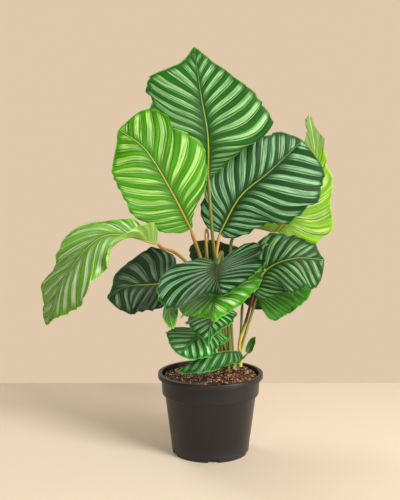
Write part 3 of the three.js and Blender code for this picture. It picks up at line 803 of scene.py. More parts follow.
        left=Half(50, (1, 1, 1, 1, 1), 1, 0.05, (4,)),
        right=Half(55, (1.5, 1.15, 0.9, 1, 1), 1, 0.05, (-10,)),
        pleats=11,
        stalk=StalkPlan(8, 2.6, ((61, 46, 190), (74, 42, 235))),
        look=LeafLook(srgb(40, 108, 20), srgb(108, 160, 76), srgb(86, 152, 38),
                      srgb(110, 140, 50), srgb(100, 140, 60), srgb(100, 140, 80), 0.85, 0.04),
        sweep=5.0,
    ),
    Leaf(
        name="leaf_14_back_left", tone=Tone.DARK, stalk_tone=StalkTone.TAN,
        rib=((-4, 86, 378), (0, 116, 368), (8, 150, 342), (14, 174, 306)),
        facing=((0, 0.3, 0.95), (0, 0.6, 0.8)),
        left=Half(46, (1, 1, 1, 1, 1), 1, 0.1, (-8,), -12),
        right=Half(64, (1, 1, 1, 1, 1), 1, 0.1, (-8,), -12),
        pleats=10,
        stalk=StalkPlan(14, 2.8, ((8, 56, 260), (-6, 50, 350), (-8, 55, 392), (-7, 66, 399), (-5, 78, 390))),
        look=LeafLook(srgb(36, 66, 44), srgb(90, 114, 92), srgb(60, 100, 50),
                      srgb(90, 110, 60), srgb(80, 110, 60), srgb(50, 84, 48), 0.8, -0.04),
    ),
    Leaf(
        name="leaf_15_back_middle", tone=Tone.DARK, stalk_tone=StalkTone.OLIVE,
        rib=((30, 100, 300), (20, 135, 305), (4, 172, 292), (-10, 198, 262)),
        facing=((0, 0.2, 0.95), (0, 0.6, 0.8)),
        left=Half(70, (1, 1, 1, 1, 1), 1, 0.1, (-8,)),
        right=Half(70, (1, 1, 1, 1, 1), 1, 0.1, (-8,)),
        pleats=11,
        stalk=StalkPlan(11, 2.7, ((36, 78, 225), (30, 93, 285))),
        look=LeafLook(srgb(30, 74, 36), srgb(104, 138, 102), srgb(66, 116, 44),
                      srgb(100, 130, 60), srgb(90, 130, 60), srgb(52, 92, 46), 0.9, 0),
    ),
    Leaf(
        name="leaf_16_small_left", tone=Tone.BRIGHT, stalk_tone=StalkTone.GREEN,
        rib=((-65, -20, 278), (-69, -50, 275), (-70, -78, 261), (-64, -98, 244)),
        facing=((0, -0.3, 0.95), (-0.2, -0.5, 0.85)),
        left=Half(14, (1, 1, 1, 1, 1), 1, 0.05, (-8,)),
        right=Half(14, (1, 1, 1, 1, 1), 1, 0.05, (-8,)),
        drip=0.06, pleats=9, wave=Wave(2, 3, 0),
        stalk=StalkPlan(12, 2.2, ((4, 24, 225), (-28, 10, 264), (-54, -6, 280))),
        look=LeafLook(srgb(76, 146, 40), srgb(160, 200, 130), srgb(150, 190, 70),
                      srgb(150, 180, 70), srgb(150, 190, 90), srgb(130, 175, 90), 0.9, 0),
    ),
    Leaf(
        name="leaf_17_small_right", tone=Tone.BRIGHT, stalk_tone=StalkTone.GREEN,
        rib=((68, 18, 176), (72, 18, 186), (78, 15, 198), (82, 10, 208)),
        facing=((-0.3, -0.8, 0.3), (-0.6, -0.7, 0.5)),
        left=Half(8, (1, 1, 1, 1, 1), 1, 0, (10,), 8),
        right=Half(9, (1, 1, 1, 1, 1), 1, 0, (10,), 8),
        drip=0.08, pleats=6, wave=Wave(1, 2, 0),
        stalk=StalkPlan(5, 1.8, ((55, 29, 161), (62, 22, 168))),
        look=LeafLook(srgb(60, 120, 50), srgb(120, 166, 104), srgb(120, 170, 60),
                      srgb(130, 160, 60), srgb(120, 160, 70), srgb(110, 150, 80), 0.8, 0),
    ),
    Leaf(
        name="leaf_18_low_back_right", tone=Tone.DARK, stalk_tone=StalkTone.GREEN,
        rib=((62, 75, 262), (85, 105, 280), (112, 140, 278), (132, 168, 252)),
        facing=((0.2, 0.2, 0.95), (0.4, 0.5, 0.8)),
        left=Half(60, (0.7, 0.95, 1, 1, 0.95), 1, 0, (-8,)),
        right=Half(62, (1, 1, 1, 1, 1), 1, 0.1, (-8,)),
        drip=0.04, pleats=11,
        stalk=StalkPlan(16, 2.6, ((58, 66, 200),)),
        look=LeafLook(srgb(34, 82, 42), srgb(112, 148, 112), srgb(70, 130, 50),
                      srgb(100, 130, 60), srgb(90, 130, 60), srgb(100, 130, 85), 0.9, 0),
    ),
)


# ---- Finishes ------------------------------------------------------------------------------------


@dataclass(frozen=True)
class BladeFinish:
    """A leaf blade: a broad and a narrow silver line at each crease, a bright edge, a midrib and a dull back.

    Places across a pleat run from 0 at one crease to 1 at the next. The stripes fade in over a share of
    the way from the midrib, and out over a distance from the margin. Distances and widths are in millimetres.
    """

    look: LeafLook
    seed: float
    drift: float = 0.14
    drift_scale: float = 26.0
    patch_scale: float = 16.0
    fine_lines: float = 9.0
    fine_shift: float = 0.03
    broad_lines: float = 5.0
    broad_shift: float = 0.13
    fade_in: float = 0.30
    fade_out: float = 9.0
    hairline: float = 0.030
    broad_end: float = 0.36
    narrow_from: float = 0.84
    narrow_share: float = 0.8
    feather: float = 0.045
    band_middle: float = 0.60
    edge_width: float = 0.9
    edge_share: float = 0.8
    rib_width: float = 1.5
    rib_tip_width: float = 0.5
    rib_shadow: float = 0.30
    roughness: float = 0.35
    specular: float = 0.17
    relief_depth: float = 0.0006

    def material(self, name: str) -> bpy.types.Material:
        """Builds the material.

        Args:
            name: The material's name.

        Returns:
            The material. It reads phase, across, out, inset, along and upper from the mesh.
        """
        g = Shader(name)
        look = self.look
        across, out, inset, along = (g.attribute(key) for key in ("across", "out", "inset", "along"))
        phase = g.attribute("phase") + (g.noise(g.place(), self.drift_scale, 2.0) - 0.5) * self.drift
        turn = g.math("FRACT", phase)
        crease = 0.5 - abs(turn - 0.5)

        # Fine lines that run with the side veins, softer and broader ones, and cloudy patches.
        fine = g.noise(g.triple(across * 1.8, phase * self.fine_lines, self.seed), 1.0, 3.0, 0.6)
        fine = g.step(fine, 0.34, 0.66)
        broad = g.noise(g.triple(across * 1.4, phase * self.broad_lines, self.seed + 9.0), 1.0, 2.0)
        patch = g.noise(g.place(), self.patch_scale, 2.0)
        place = turn + (fine - 0.5) * self.fine_shift + (broad - 0.5) * self.broad_shift

        # The silver stripes, which fade out at the midrib and at the margin.
        start = g.step(crease, self.hairline * 0.5, self.hairline * 1.3)
        wide = 1.0 - g.step(place, self.broad_end - self.feather, self.broad_end + self.feather)
        thin = g.step(place, self.narrow_from - self.feather, self.narrow_from + self.feather)
        lines = g.math("MAXIMUM", wide, thin * self.narrow_share)
        reach = g.step(across, 0.0, self.fade_in) * g.step(inset, 0.6, self.fade_out)
        strength = start * lines * reach * (0.52 + 0.58 * fine) * look.stripe
        stripe = g.math("MINIMUM", strength, 1.0)

        # The green between them, with cloudy patches and darker towards the midrib. A painted highlight
        # lightens its middle, on the pleat's ridge, and a painted shadow darkens a thin line in the crease.
        middle = 1.0 - g.step(abs(place - self.band_middle), 0.03, 0.20)
        shade = 0.80 + 0.16 * g.step(across, 0.0, 0.6) + 0.30 * (patch - 0.4) + 0.34 * middle
        # Painted shadow: a thin dark line along each crease.
        hairline = (1.0 - g.step(crease, 0.0, self.hairline)) * g.step(across, 0.02, 0.2)
        deep = g.tint(g.tint(look.band, shade), (0.70 + 0.50 * fine) * (1.0 - 0.6 * hairline))
        face = g.mix(deep, g.tint(look.pale, 0.78 + 0.36 * fine), stripe)

        # The bright margin, then the midrib with a shadow along both sides.
        margin = 1.0 - g.step(inset + (broad - 0.5) * 1.2, self.edge_width * 0.5, self.edge_width * 2.2)
        face = g.mix(face, look.edge, margin * self.edge_share)
        widths = out / (self.rib_width + along * (self.rib_tip_width - self.rib_width))
        rib = 1.0 - g.step(widths, 0.65, 1.25)
        rib_colour = g.mix(look.rib, look.rib_tip, g.step(along, 0.15, 0.95))
        shadow = g.step(widths, 0.9, 1.4) * (1.0 - g.step(widths, 1.6, 4.6))
        face = g.tint(g.mix(face, rib_colour, rib), 1.0 - self.rib_shadow * shadow)

        # The back, whose colours also cover the upper face past the share turned.
        back = g.mix(look.under, g.tint(look.pale, 0.9), stripe * 0.35)
        back = g.tint(back, 0.80 + 0.26 * fine + 0.16 * patch)
        back = g.mix(back, g.tint(rib_colour, 1.05), rib)
        turned = g.step(along + (broad - 0.5) * 0.05, look.turned, look.turned + 0.04)
        colour = g.mix(back, face, g.attribute("upper") * (1.0 - turned))

        relief = fine * 0.5 + stripe * 0.5 + g.step(crease, 0.0, 0.05) * 0.7
        rough = self.roughness - look.gloss + 0.12 * (0.5 - fine) + 0.14 * (patch - 0.5) + 0.05 * rib
        return g.finish({"Base Color": colour, "Roughness": rough, "Specular IOR Level": self.specular,
                         "Normal": g.bump(relief, self.relief_depth)})


@dataclass(frozen=True)
class StalkFinish:
    """A leaf stalk with fine lengthwise streaks.

    low, middle, high and knee are its colours on the way from the soil to the blade, and change is the share
    of the length at which the high one is reached.
    """

    low: Colour
    middle: Colour
    high: Colour
    knee: Colour
    change: float = 0.80
    streaks: float = 2.6
    cloud_scale: float = 60.0
    roughness: float = 0.40
    relief_depth: float = 0.00035

    def material(self, name: str) -> bpy.types.Material:
        """Builds the material.

        Args:
            name: The material's name.

        Returns:
            The material. It reads along, a share of the length, and turn, a share of the way round.
        """
        g = Shader(name)
        along = g.attribute("along")
        turn = g.attribute("turn") * (2 * math.pi)
        round_x, round_y = g.math("COSINE", turn) * self.streaks, g.sine(turn) * self.streaks
        streak = g.noise(g.triple(round_x, round_y, along * 5.0), 1.0, 4.0, 0.65)
        cloud = g.noise(g.place((1, 1, 0.35)), self.cloud_scale, 3.0)
        stops = ((0.06, self.low), (0.46, self.middle), (self.change, self.high), (0.93, self.high),
                 (0.985, self.knee))
        ramp = g.node("ShaderNodeValToRGB", {"stops": stops}, {"Fac": along + (cloud - 0.5) * 0.12})
        colour = g.tint(ramp, 0.66 + 0.42 * streak + 0.26 * cloud)
        rough = self.roughness + 0.22 * (streak - 0.4)
        return g.finish({"Base Color": colour, "Roughness": rough,
                         "Normal": g.bump(streak, self.relief_depth)})


# Painted shade: the tan and olive stalks' darker low and middle colours are partly their own and partly the
# shade under the leaves.
STALK_FINISHES = {
    StalkTone.TAN: StalkFinish(srgb(140, 130, 56), srgb(116, 104, 38), srgb(168, 126, 58),
                               srgb(176, 138, 66)),
    StalkTone.OLIVE: StalkFinish(srgb(128, 126, 46), srgb(76, 92, 26), srgb(104, 112, 34),
                                 srgb(136, 122, 48)),
    StalkTone.RED: StalkFinish(srgb(204, 188, 84), srgb(190, 168, 70), srgb(84, 20, 18),
                               srgb(176, 138, 56), 0.60),
    StalkTone.GREEN: StalkFinish(srgb(170, 164, 60), srgb(124, 138, 42), srgb(112, 134, 36),
                                 srgb(136, 150, 52)),
}


@dataclass(frozen=True)
class PotFinish:
    """Satin black moulded plastic, with a fine grain, faint scuffs and a little dust."""

    colour: Colour = srgb(18, 18, 21)
    dust: Colour = srgb(80, 78, 76)
    dust_height: float = 0.03
    roughness: float = 0.37
    specular: float = 0.42
    grain_scale: float = 900.0
    grain_depth: float = 0.00006
    cloud_scale: float = 14.0
    scuff_scale: float = 42.0

    def material(self, name: str) -> bpy.types.Material:
        """Builds the material.

        Args:
            name: The material's name.

        Returns:
            The material.
        """
        g = Shader(name)
        grain = g.noise(g.place(), self.grain_scale, 2.0)
        cloud = g.noise(g.place((1, 1, 1.6)), self.cloud_scale, 4.0)
        scuffs = g.step(g.noise(g.place((1, 1, 9)), self.scuff_scale, 5.0, 0.7), 0.66, 0.78)
        height = g.node("ShaderNodeSeparateXYZ", None, {0: g.place()}, "Z")
        low = 1.0 - g.step(height, 0.0, self.dust_height)
        dusty = scuffs * 0.16 + low * cloud * 0.22 + g.step(cloud, 0.62, 0.8) * 0.10
        dusty = g.math("MINIMUM", dusty, 1.0)
        colour = g.mix(g.tint(self.colour, 0.84 + 0.32 * cloud), self.dust, dusty)
        rough = self.roughness + 0.12 * (cloud - 0.5) + 0.22 * dusty + 0.06 * (grain - 0.5)
        return g.finish({"Base Color": colour, "Roughness": rough, "Specular IOR Level": self.specular,
                         "Normal": g.bump(grain, self.grain_depth, 0.6)})


@dataclass(frozen=True)
class MixFinish:
    """Potting mix: each crumb has its own shade between two colours."""

    dark: Colour
    light: Colour
    roughness: float = 0.9
    specular: float = 0.3
    grain_scale: float = 700.0
    grain_depth: float = 0.0006

    def material(self, name: str) -> bpy.types.Material:
        """Builds the material.

        Args:
            name: The material's name.

        Returns:
            The material. It reads shade, a random number of each crumb, from the mesh.
        """
        g = Shader(name)
        spots = g.noise(g.place(), self.grain_scale, 4.0, 0.7)
        fibre = g.noise(g.place((3, 1, 1)), self.grain_scale * 0.4, 3.0)
        share = g.attribute("shade") * 0.75 + spots * 0.45 - 0.12
        colour = g.tint(g.mix(self.dark, self.light, share), 0.7 + 0.6 * fibre)
        rough = self.roughness - 0.15 * spots
        return g.finish({"Base Color": colour, "Roughness": rough, "Specular IOR Level": self.specular,
                         "Normal": g.bump(spots, self.grain_depth)})


@dataclass(frozen=True)
class FloorFinish:
    """A plain pale plaster floor."""

    colour: Colour = srgb(213, 198, 179)
    roughness: float = 0.72
    cloud_scale: float = 3.0
    grain_scale: float = 90.0
    grain_depth: float = 0.0004

    def material(self, name: str) -> bpy.types.Material:
        """Builds the material.

        Args:
            name: The material's name.

        Returns:
            The material.
        """
        g = Shader(name)
        cloud = g.noise(g.place(), self.cloud_scale, 4.0)
        grain = g.noise(g.place(), self.grain_scale, 3.0)
        colour = g.tint(self.colour, 0.96 + 0.05 * cloud + 0.03 * grain)
        return g.finish({"Base Color": colour, "Roughness": self.roughness + 0.1 * grain,
                         "Normal": g.bump(grain, self.grain_depth, 0.4)})


# ---- Pot -----------------------------------------------------------------------------------------


@dataclass
class Pot:
    """The round nursery pot: a lathe body with a turned-down lip, a wide collar and drainage notches (mm)."""

    height: float = 146.0
    rim_radius: float = 95.0
    lip_height: float = 8.5
    lip_top: float = 2.1
    collar_top: float = 89.5
    collar_foot: float = 87.5
    collar_foot_z: float = 110.0
    collar_step: float = 3.0
    collar_bevel: float = 0.5
    collar_bevel_z: float = 0.8
    body_radius: float = 83.0
    foot_radius: float = 69.0
    step_top_z: float = 112.0
    step_foot_z: float = 106.0
    wall: float = 1.5
    floor: float = 2.0
    band_z: float = 7.6
    band_height: float = 3.0
    band_lip: float = 0.5
    bead: float = 0.45
    notch_width: float = 19.5
    notch_height: float = 5.5
    notch_depth: float = 24.0
    notch_out: float = 6.0
    notch_below: float = 2.0
    notch_corner: float = 1.2
    notch_count: int = 5
    first_notch: float = -86.6
    sides: int = 200
    corner_parts: int = 4
    finish: PotFinish = PotFinish()

    def inner_radius(self, z: float) -> float:
        """The inner radius of the wall at a height.

        Args:
            z: The height above the foot.

        Returns:
            The radius.
        """
        if z >= self.collar_foot_z:
            share = (z - self.collar_foot_z) / (self.height - self.collar_foot_z)
            return lerp(self.collar_foot, self.collar_top, share) - self.wall
        return lerp(self.foot_radius, self.body_radius, z / self.collar_foot_z) - self.wall

    def _corners(self) -> list[tuple[float, float, float]]:
        """The profile's corners.

        Returns:
            Each corner's radius, height and fillet, from the axis under the floor, round the wall and back.
        """
        step_foot = self.collar_foot_z - self.collar_step
        lip_inside = self.rim_radius - self.wall

        def outer(z: float) -> float:
            """The outer radius at a height."""
            return self.inner_radius(z) + self.wall

        return [
            (0.0, 0.0, 0.0),
            (self.foot_radius, 0.0, 1.3),
            (outer(self.band_z), self.band_z, 0.3),
            (outer(self.band_z) + self.bead, self.band_z + self.band_lip, 0.2),
            (outer(self.band_z + self.band_height), self.band_z + self.band_height, 0.8),
            (outer(step_foot), step_foot, 0.8),
            (self.collar_foot - self.collar_bevel, step_foot + self.collar_bevel_z, 0.9),
            (self.collar_foot, self.collar_foot_z, 0.9),
            (self.collar_top, self.height - self.lip_top, 0.6),
            (lip_inside, self.height - self.lip_top, 0.5),
            (lip_inside, self.height - self.lip_height, 0.4),
            (self.rim_radius, self.height - self.lip_height, 0.5),
            (self.rim_radius, self.height, 1.5),
            (self.inner_radius(self.height), self.height, 0.8),
            (self.inner_radius(self.step_top_z), self.step_top_z, 0.8),
            (self.inner_radius(self.step_foot_z), self.step_foot_z, 0.8),
            (self.inner_radius(self.floor), self.floor, 1.5),
            (0.0, self.floor, 0.0),
        ]

    def _profile(self) -> list[tuple[float, float]]:
        """The corners, each one rounded.

        Returns:
            Points of radius and height, in millimetres.
        """
        corners = [(Vector((r, z)), fillet) for r, z, fillet in self._corners()]
        points = [corners[0][0]]
        for (before, _), (corner, fillet), (after, _) in zip(corners, corners[1:], corners[2:]):
            back, on = before - corner, after - corner
            reach = min(fillet, back.length * 0.45, on.length * 0.45)
            start, end = corner + back.normalized() * reach, corner + on.normalized() * reach
            for i in range(self.corner_parts + 1):
                t = i / self.corner_parts
                points.append(start * (1 - t) ** 2 + corner * (2 * t * (1 - t)) + end * t ** 2)
        points.append(corners[-1][0])
        return [(point.x, point.y) for point in points]

    def _lathe(self) -> bpy.types.Object:
        """Turns the profile about the pot's axis."""
        rings = [ring(radius, z, self.sides if radius else 1) for radius, z in self._profile()]
        return ringed_body("pot_shell", rings)

    def _cut_notches(self, shell: bpy.types.Object) -> None:
        """Cuts the drainage gaps through the wall and the floor's edge.

        Args:
            shell: The turned body.
        """
        half, top, corner = self.notch_width / 2, self.notch_height, self.notch_corner
        section = [(-half, -self.notch_below), (half, -self.notch_below), (half, top - corner),
                   (half - corner, top), (corner - half, top), (-half, top - corner)]
        count = len(section)
        points, faces = [], []
        for k in range(self.notch_count):
            turn = Matrix.Rotation(math.radians(self.first_notch + k * 360 / self.notch_count), 3, "Z")
            base = len(points)
            for x in (self.foot_radius - self.notch_depth, self.foot_radius + self.notch_out):
                points += [turn @ Vector((x, y, z)) * MM for y, z in section]
            faces.append(tuple(base + i for i in reversed(range(count))))
            faces.append(tuple(base + count + i for i in range(count)))
            for i in range(count):
                j = (i + 1) % count
                faces.append((base + i, base + j, base + count + j, base + count + i))
        cutter = make_piece("notch_cutter", points, faces)
        cut = shell.modifiers.new("notches", "BOOLEAN")
        cut.operation, cut.object, cut.solver = "DIFFERENCE", cutter, "EXACT"
        bake(shell)
        bpy.data.objects.remove(cutter)

    def build(self) -> None:
        """Builds the pot and hands it over in place of the CAD pot."""
        shell = self._lathe()
        self._cut_notches(shell)
        shell.data.materials.clear()
        shell.data.materials.append(self.finish.material("pot_plastic"))
        soften(shell, 32.0)
        settle(shell, "pot", "pot")


# ---- Soil ----------------------------------------------------------------------------------------


@dataclass(frozen=True)
class Crumb:
    """One kind of loose bit in the potting mix.

    density is how many lie on a square metre, small and large are their sizes (mm), shape is how flat they
    are, rough how ragged, and detail how finely each one is cut.
    """

    name: str
    density: float
    small: float
    large: float
    shape: Triple
    rough: float
    detail: int
    seed: int
    finish: MixFinish


@dataclass
class SoilBed:
    """The potting mix: a lumpy bed that fills the pot, and loose bits that lie on it (mm)."""

    pot: Pot
    edge_z: float = 138.2
    mound: float = 2.6
    heap_x: float = 56.0
    heap_y: float = 54.0
    heap: float = 9.5
    heap_width: float = 34.0
    lump: float = 0.7
    slow_lumps: tuple[float, float] = (0.11, 0.13)
    quick_lumps: tuple[float, float] = (0.23, 0.19)
    grit: float = 0.9
    grit_noise: tuple[tuple[float, float], ...] = ((0.13, 3.1), (0.4, 7.7))
    clearance: float = 0.25
    gutter_z: float = 10.0
    gutter_rise: float = 0.8
    gutter_reach: float = 34.0
    shade_scale: float = 180.0
    rings: int = 56
    sides: int = 180
    # Painted shade: the bed's very dark colours are partly the mix's own and partly the shade in the gaps
    # between the loose bits.
    finish: MixFinish = MixFinish(srgb(14, 8, 6), srgb(50, 31, 21))
    crumbs: tuple[Crumb, ...] = (
        Crumb("peat_crumbs", density=150000.0, small=1.1, large=2.8, shape=(1.0, 0.85, 0.7), rough=0.5,
              detail=1, seed=3, finish=MixFinish(srgb(16, 9, 6), srgb(112, 68, 42))),
        Crumb("bark_chips", density=44000.0, small=2.2, large=6.0, shape=(1.0, 0.62, 0.42), rough=0.7,
              detail=2, seed=11, finish=MixFinish(srgb(62, 34, 20), srgb(214, 152, 104), 0.75)),
        Crumb("perlite_grains", density=11000.0, small=1.4, large=3.3, shape=(1.0, 0.9, 0.8), rough=0.35,
              detail=2, seed=23, finish=MixFinish(srgb(206, 198, 182), srgb(248, 244, 234))),
    )

    def top(self, x: float, y: float) -> float:
        """The height of the bed at a point.

        Args:
            x: The place across.
            y: The place from front to back.

        Returns:
            The height above the foot.
        """
        share = math.hypot(x, y) / self.pot.inner_radius(self.edge_z)
        slow_x, slow_y = self.slow_lumps
        quick_x, quick_y = self.quick_lumps
        lumps = math.sin(x * slow_x + 1) * math.cos(y * slow_y) + 0.6 * math.sin(x * quick_x - y * quick_y)
        coarse, fine = (noise.noise(Vector((x * scale, y * scale, layer)))
                        for scale, layer in self.grit_noise)
        away = math.hypot(x - self.heap_x, y - self.heap_y) / self.heap_width
        bank = self.lump * lumps + self.heap * math.exp(-away ** 2)
        return (self.edge_z + self.mound * (1 - share ** 2) + bank * (1 - share ** 6)
                + self.grit * (coarse + 0.5 * fine) * (1 - share ** 8))

    def _bed(self) -> bpy.types.Object:
        """Makes the closed filling.

        Returns:
            The bed: a fine lumpy top, the wall's inside, an undercut gutter over the notches, and the floor.
            It carries shade for the finish, and room, the distance from the wall in metres, or −1 below the
            top.
        """
        inside = self.pot.inner_radius
        reach = inside(self.edge_z) - self.clearance
        floor = self.pot.floor + self.clearance
        places = [(reach * k / self.rings, self.top) for k in range(1, self.rings + 1)]
        places += [(inside(z) - 2 * self.clearance, z)
                   for z in (self.pot.step_top_z, self.pot.step_foot_z - 1.0, self.gutter_z)]
        places += [(inside(self.gutter_z) - self.gutter_reach, self.gutter_z - self.gutter_rise),
                   (inside(floor) - self.gutter_reach, floor)]
        rings = [ring(radius, height, self.sides) for radius, height in places]
        bed = ringed_body("soil_bed", [ring(0.0, self.top, 1), *rings, ring(0.0, floor, 1)], from_top=True)
        points = [vertex.co for vertex in bed.data.vertices]
        tops = 1 + self.rings * self.sides
        carry(bed, "shade", [0.5 + 0.5 * noise.noise(point * self.shade_scale) for point in points])
        carry(bed, "room", [reach * MM - point.to_2d().length if i < tops else -1.0
                            for i, point in enumerate(points)])
        return bed

    @staticmethod
    def _scatter_tree() -> Shaper:
        """Makes the tree that strews bits over the bed's top, clear of the pot's wall.

        Returns:
            The tree. Its sizes are in metres, and Density is the number of bits to a square metre.
        """
        g = Shaper("strewn_bits", {"Density": 1000.0, "Small": 0.001, "Large": 0.002, "Flat X": 1.0,
                                   "Flat Y": 1.0, "Flat Z": 1.0, "Rough": 0.5}, {"Detail": 1, "Seed": 1})
        seed, small, large = g.size("Seed"), g.size("Small"), g.size("Large")
        clear_of_wall = g.node("FunctionNodeCompare", {"data_type": "FLOAT", "operation": "GREATER_THAN"},
                               {0: g.named("room"), 1: large * 0.6})
        spots = g.node("GeometryNodeDistributePointsOnFaces", {"distribute_method": "RANDOM"},
                       {"Mesh": g.given, "Selection": clear_of_wall, "Density": g.size("Density"),
                        "Seed": seed}, "Points")
        spots = g.store(spots, "shade", g.random(0.0, 1.0, seed + 1))
        bit = g.node("GeometryNodeMeshIcoSphere", None,
                     {"Radius": 0.5, "Subdivisions": g.size("Detail")}, "Mesh")
        size = small + (large - small) * (g.random(0.0, 1.0, seed + 2) ** 2.0)
        shape = g.vector("MULTIPLY", g.triple(g.size("Flat X"), g.size("Flat Y"), g.size("Flat Z")),
                         g.random((0.7, 0.7, 0.7), (1.25, 1.25, 1.25), seed + 3, "FLOAT_VECTOR"))

        # Each bit lies turned any way round, and tilted by half a radian at most.
        turn = g.random((-0.5, -0.5, 0.0), (0.5, 0.5, 6.283), seed + 4, "FLOAT_VECTOR")
        laid = g.node("GeometryNodeInstanceOnPoints", None,
                      {"Points": spots, "Instance": bit,
                       "Rotation": g.node("FunctionNodeEulerToRotation", None, {0: turn}),
                       "Scale": g.vector("SCALE", shape, size)})
        real = g.node("GeometryNodeRealizeInstances", None, {"Geometry": laid})
        place = g.node("GeometryNodeInputPosition")
        ragged = g.node("ShaderNodeTexNoise", {"noise_dimensions": "3D"},
                        {"Vector": place, "Scale": 420.0, "Detail": 1.0}, "Color")
        push = g.vector("SCALE", g.vector("SUBTRACT", ragged, (0.5, 0.5, 0.5)), g.size("Rough") * large)
        g.close(g.node("GeometryNodeSetPosition", None, {"Geometry": real, "Offset": push}))
        return g

    def _strew(self, bed: bpy.types.Object, tree: Shaper, crumb: Crumb) -> None:
        """Lays one kind of bit on the bed.

        Args:
            bed: The bed.
            tree: The scatter tree.
            crumb: The kind of bit.
        """
        piece = place_object(crumb.name, bed.data.copy())
        flat = dict(zip(("Flat X", "Flat Y", "Flat Z"), crumb.shape))
        tree.apply(piece, {**flat, "Density": crumb.density,
                           "Small": crumb.small * MM, "Large": crumb.large * MM,
                           "Rough": crumb.rough, "Detail": crumb.detail, "Seed": crumb.seed,
                           "Material": crumb.finish.material(crumb.name + "_finish")})
        soften(piece, 28.0)
        settle(piece, "soil")

    def build(self) -> None:
        """Builds the bed and its loose bits, in place of the CAD soil."""
        bed = self._bed()
        bed.data.materials.append(self.finish.material("potting_mix"))
        soften(bed, 50.0)
        tree = self._scatter_tree()
        for crumb in self.crumbs:
            self._strew(bed, tree, crumb)
        settle(bed, "soil", "soil")


# ---- Leaves --------------------------------------------------------------------------------------


@dataclass
class Crown:
    """Where the stalks leave the soil: a golden-angle spiral (mm and degrees)."""

    x: float = 36.0
    y: float = 46.0
    spacing: float = 5.7
    first_turn: float = 0.4
    turn: float = 137.5
    foot_z: float = 116.2
    straight_from: float = 130.2
    straight_to: float = 152.0

    def way(self, leaf: Leaf) -> list[Vector]:
        """The points that a leaf's stalk passes, from the bottom of its hole.

        Args:
            leaf: The leaf.

        Returns:
            The points, in millimetres.
        """
        reach = self.spacing * math.sqrt(leaf.stalk.spot + self.first_turn)
        angle = math.radians(leaf.stalk.spot * self.turn)
        x, y = self.x + reach * math.cos(angle), self.y + reach * math.sin(angle)
        middle = (self.straight_from + self.straight_to) / 2
        heights = (self.foot_z, self.straight_from, middle, self.straight_to)
        return [Vector((x, y, z)) for z in heights] + [Vector(point) for point in leaf.stalk.by]


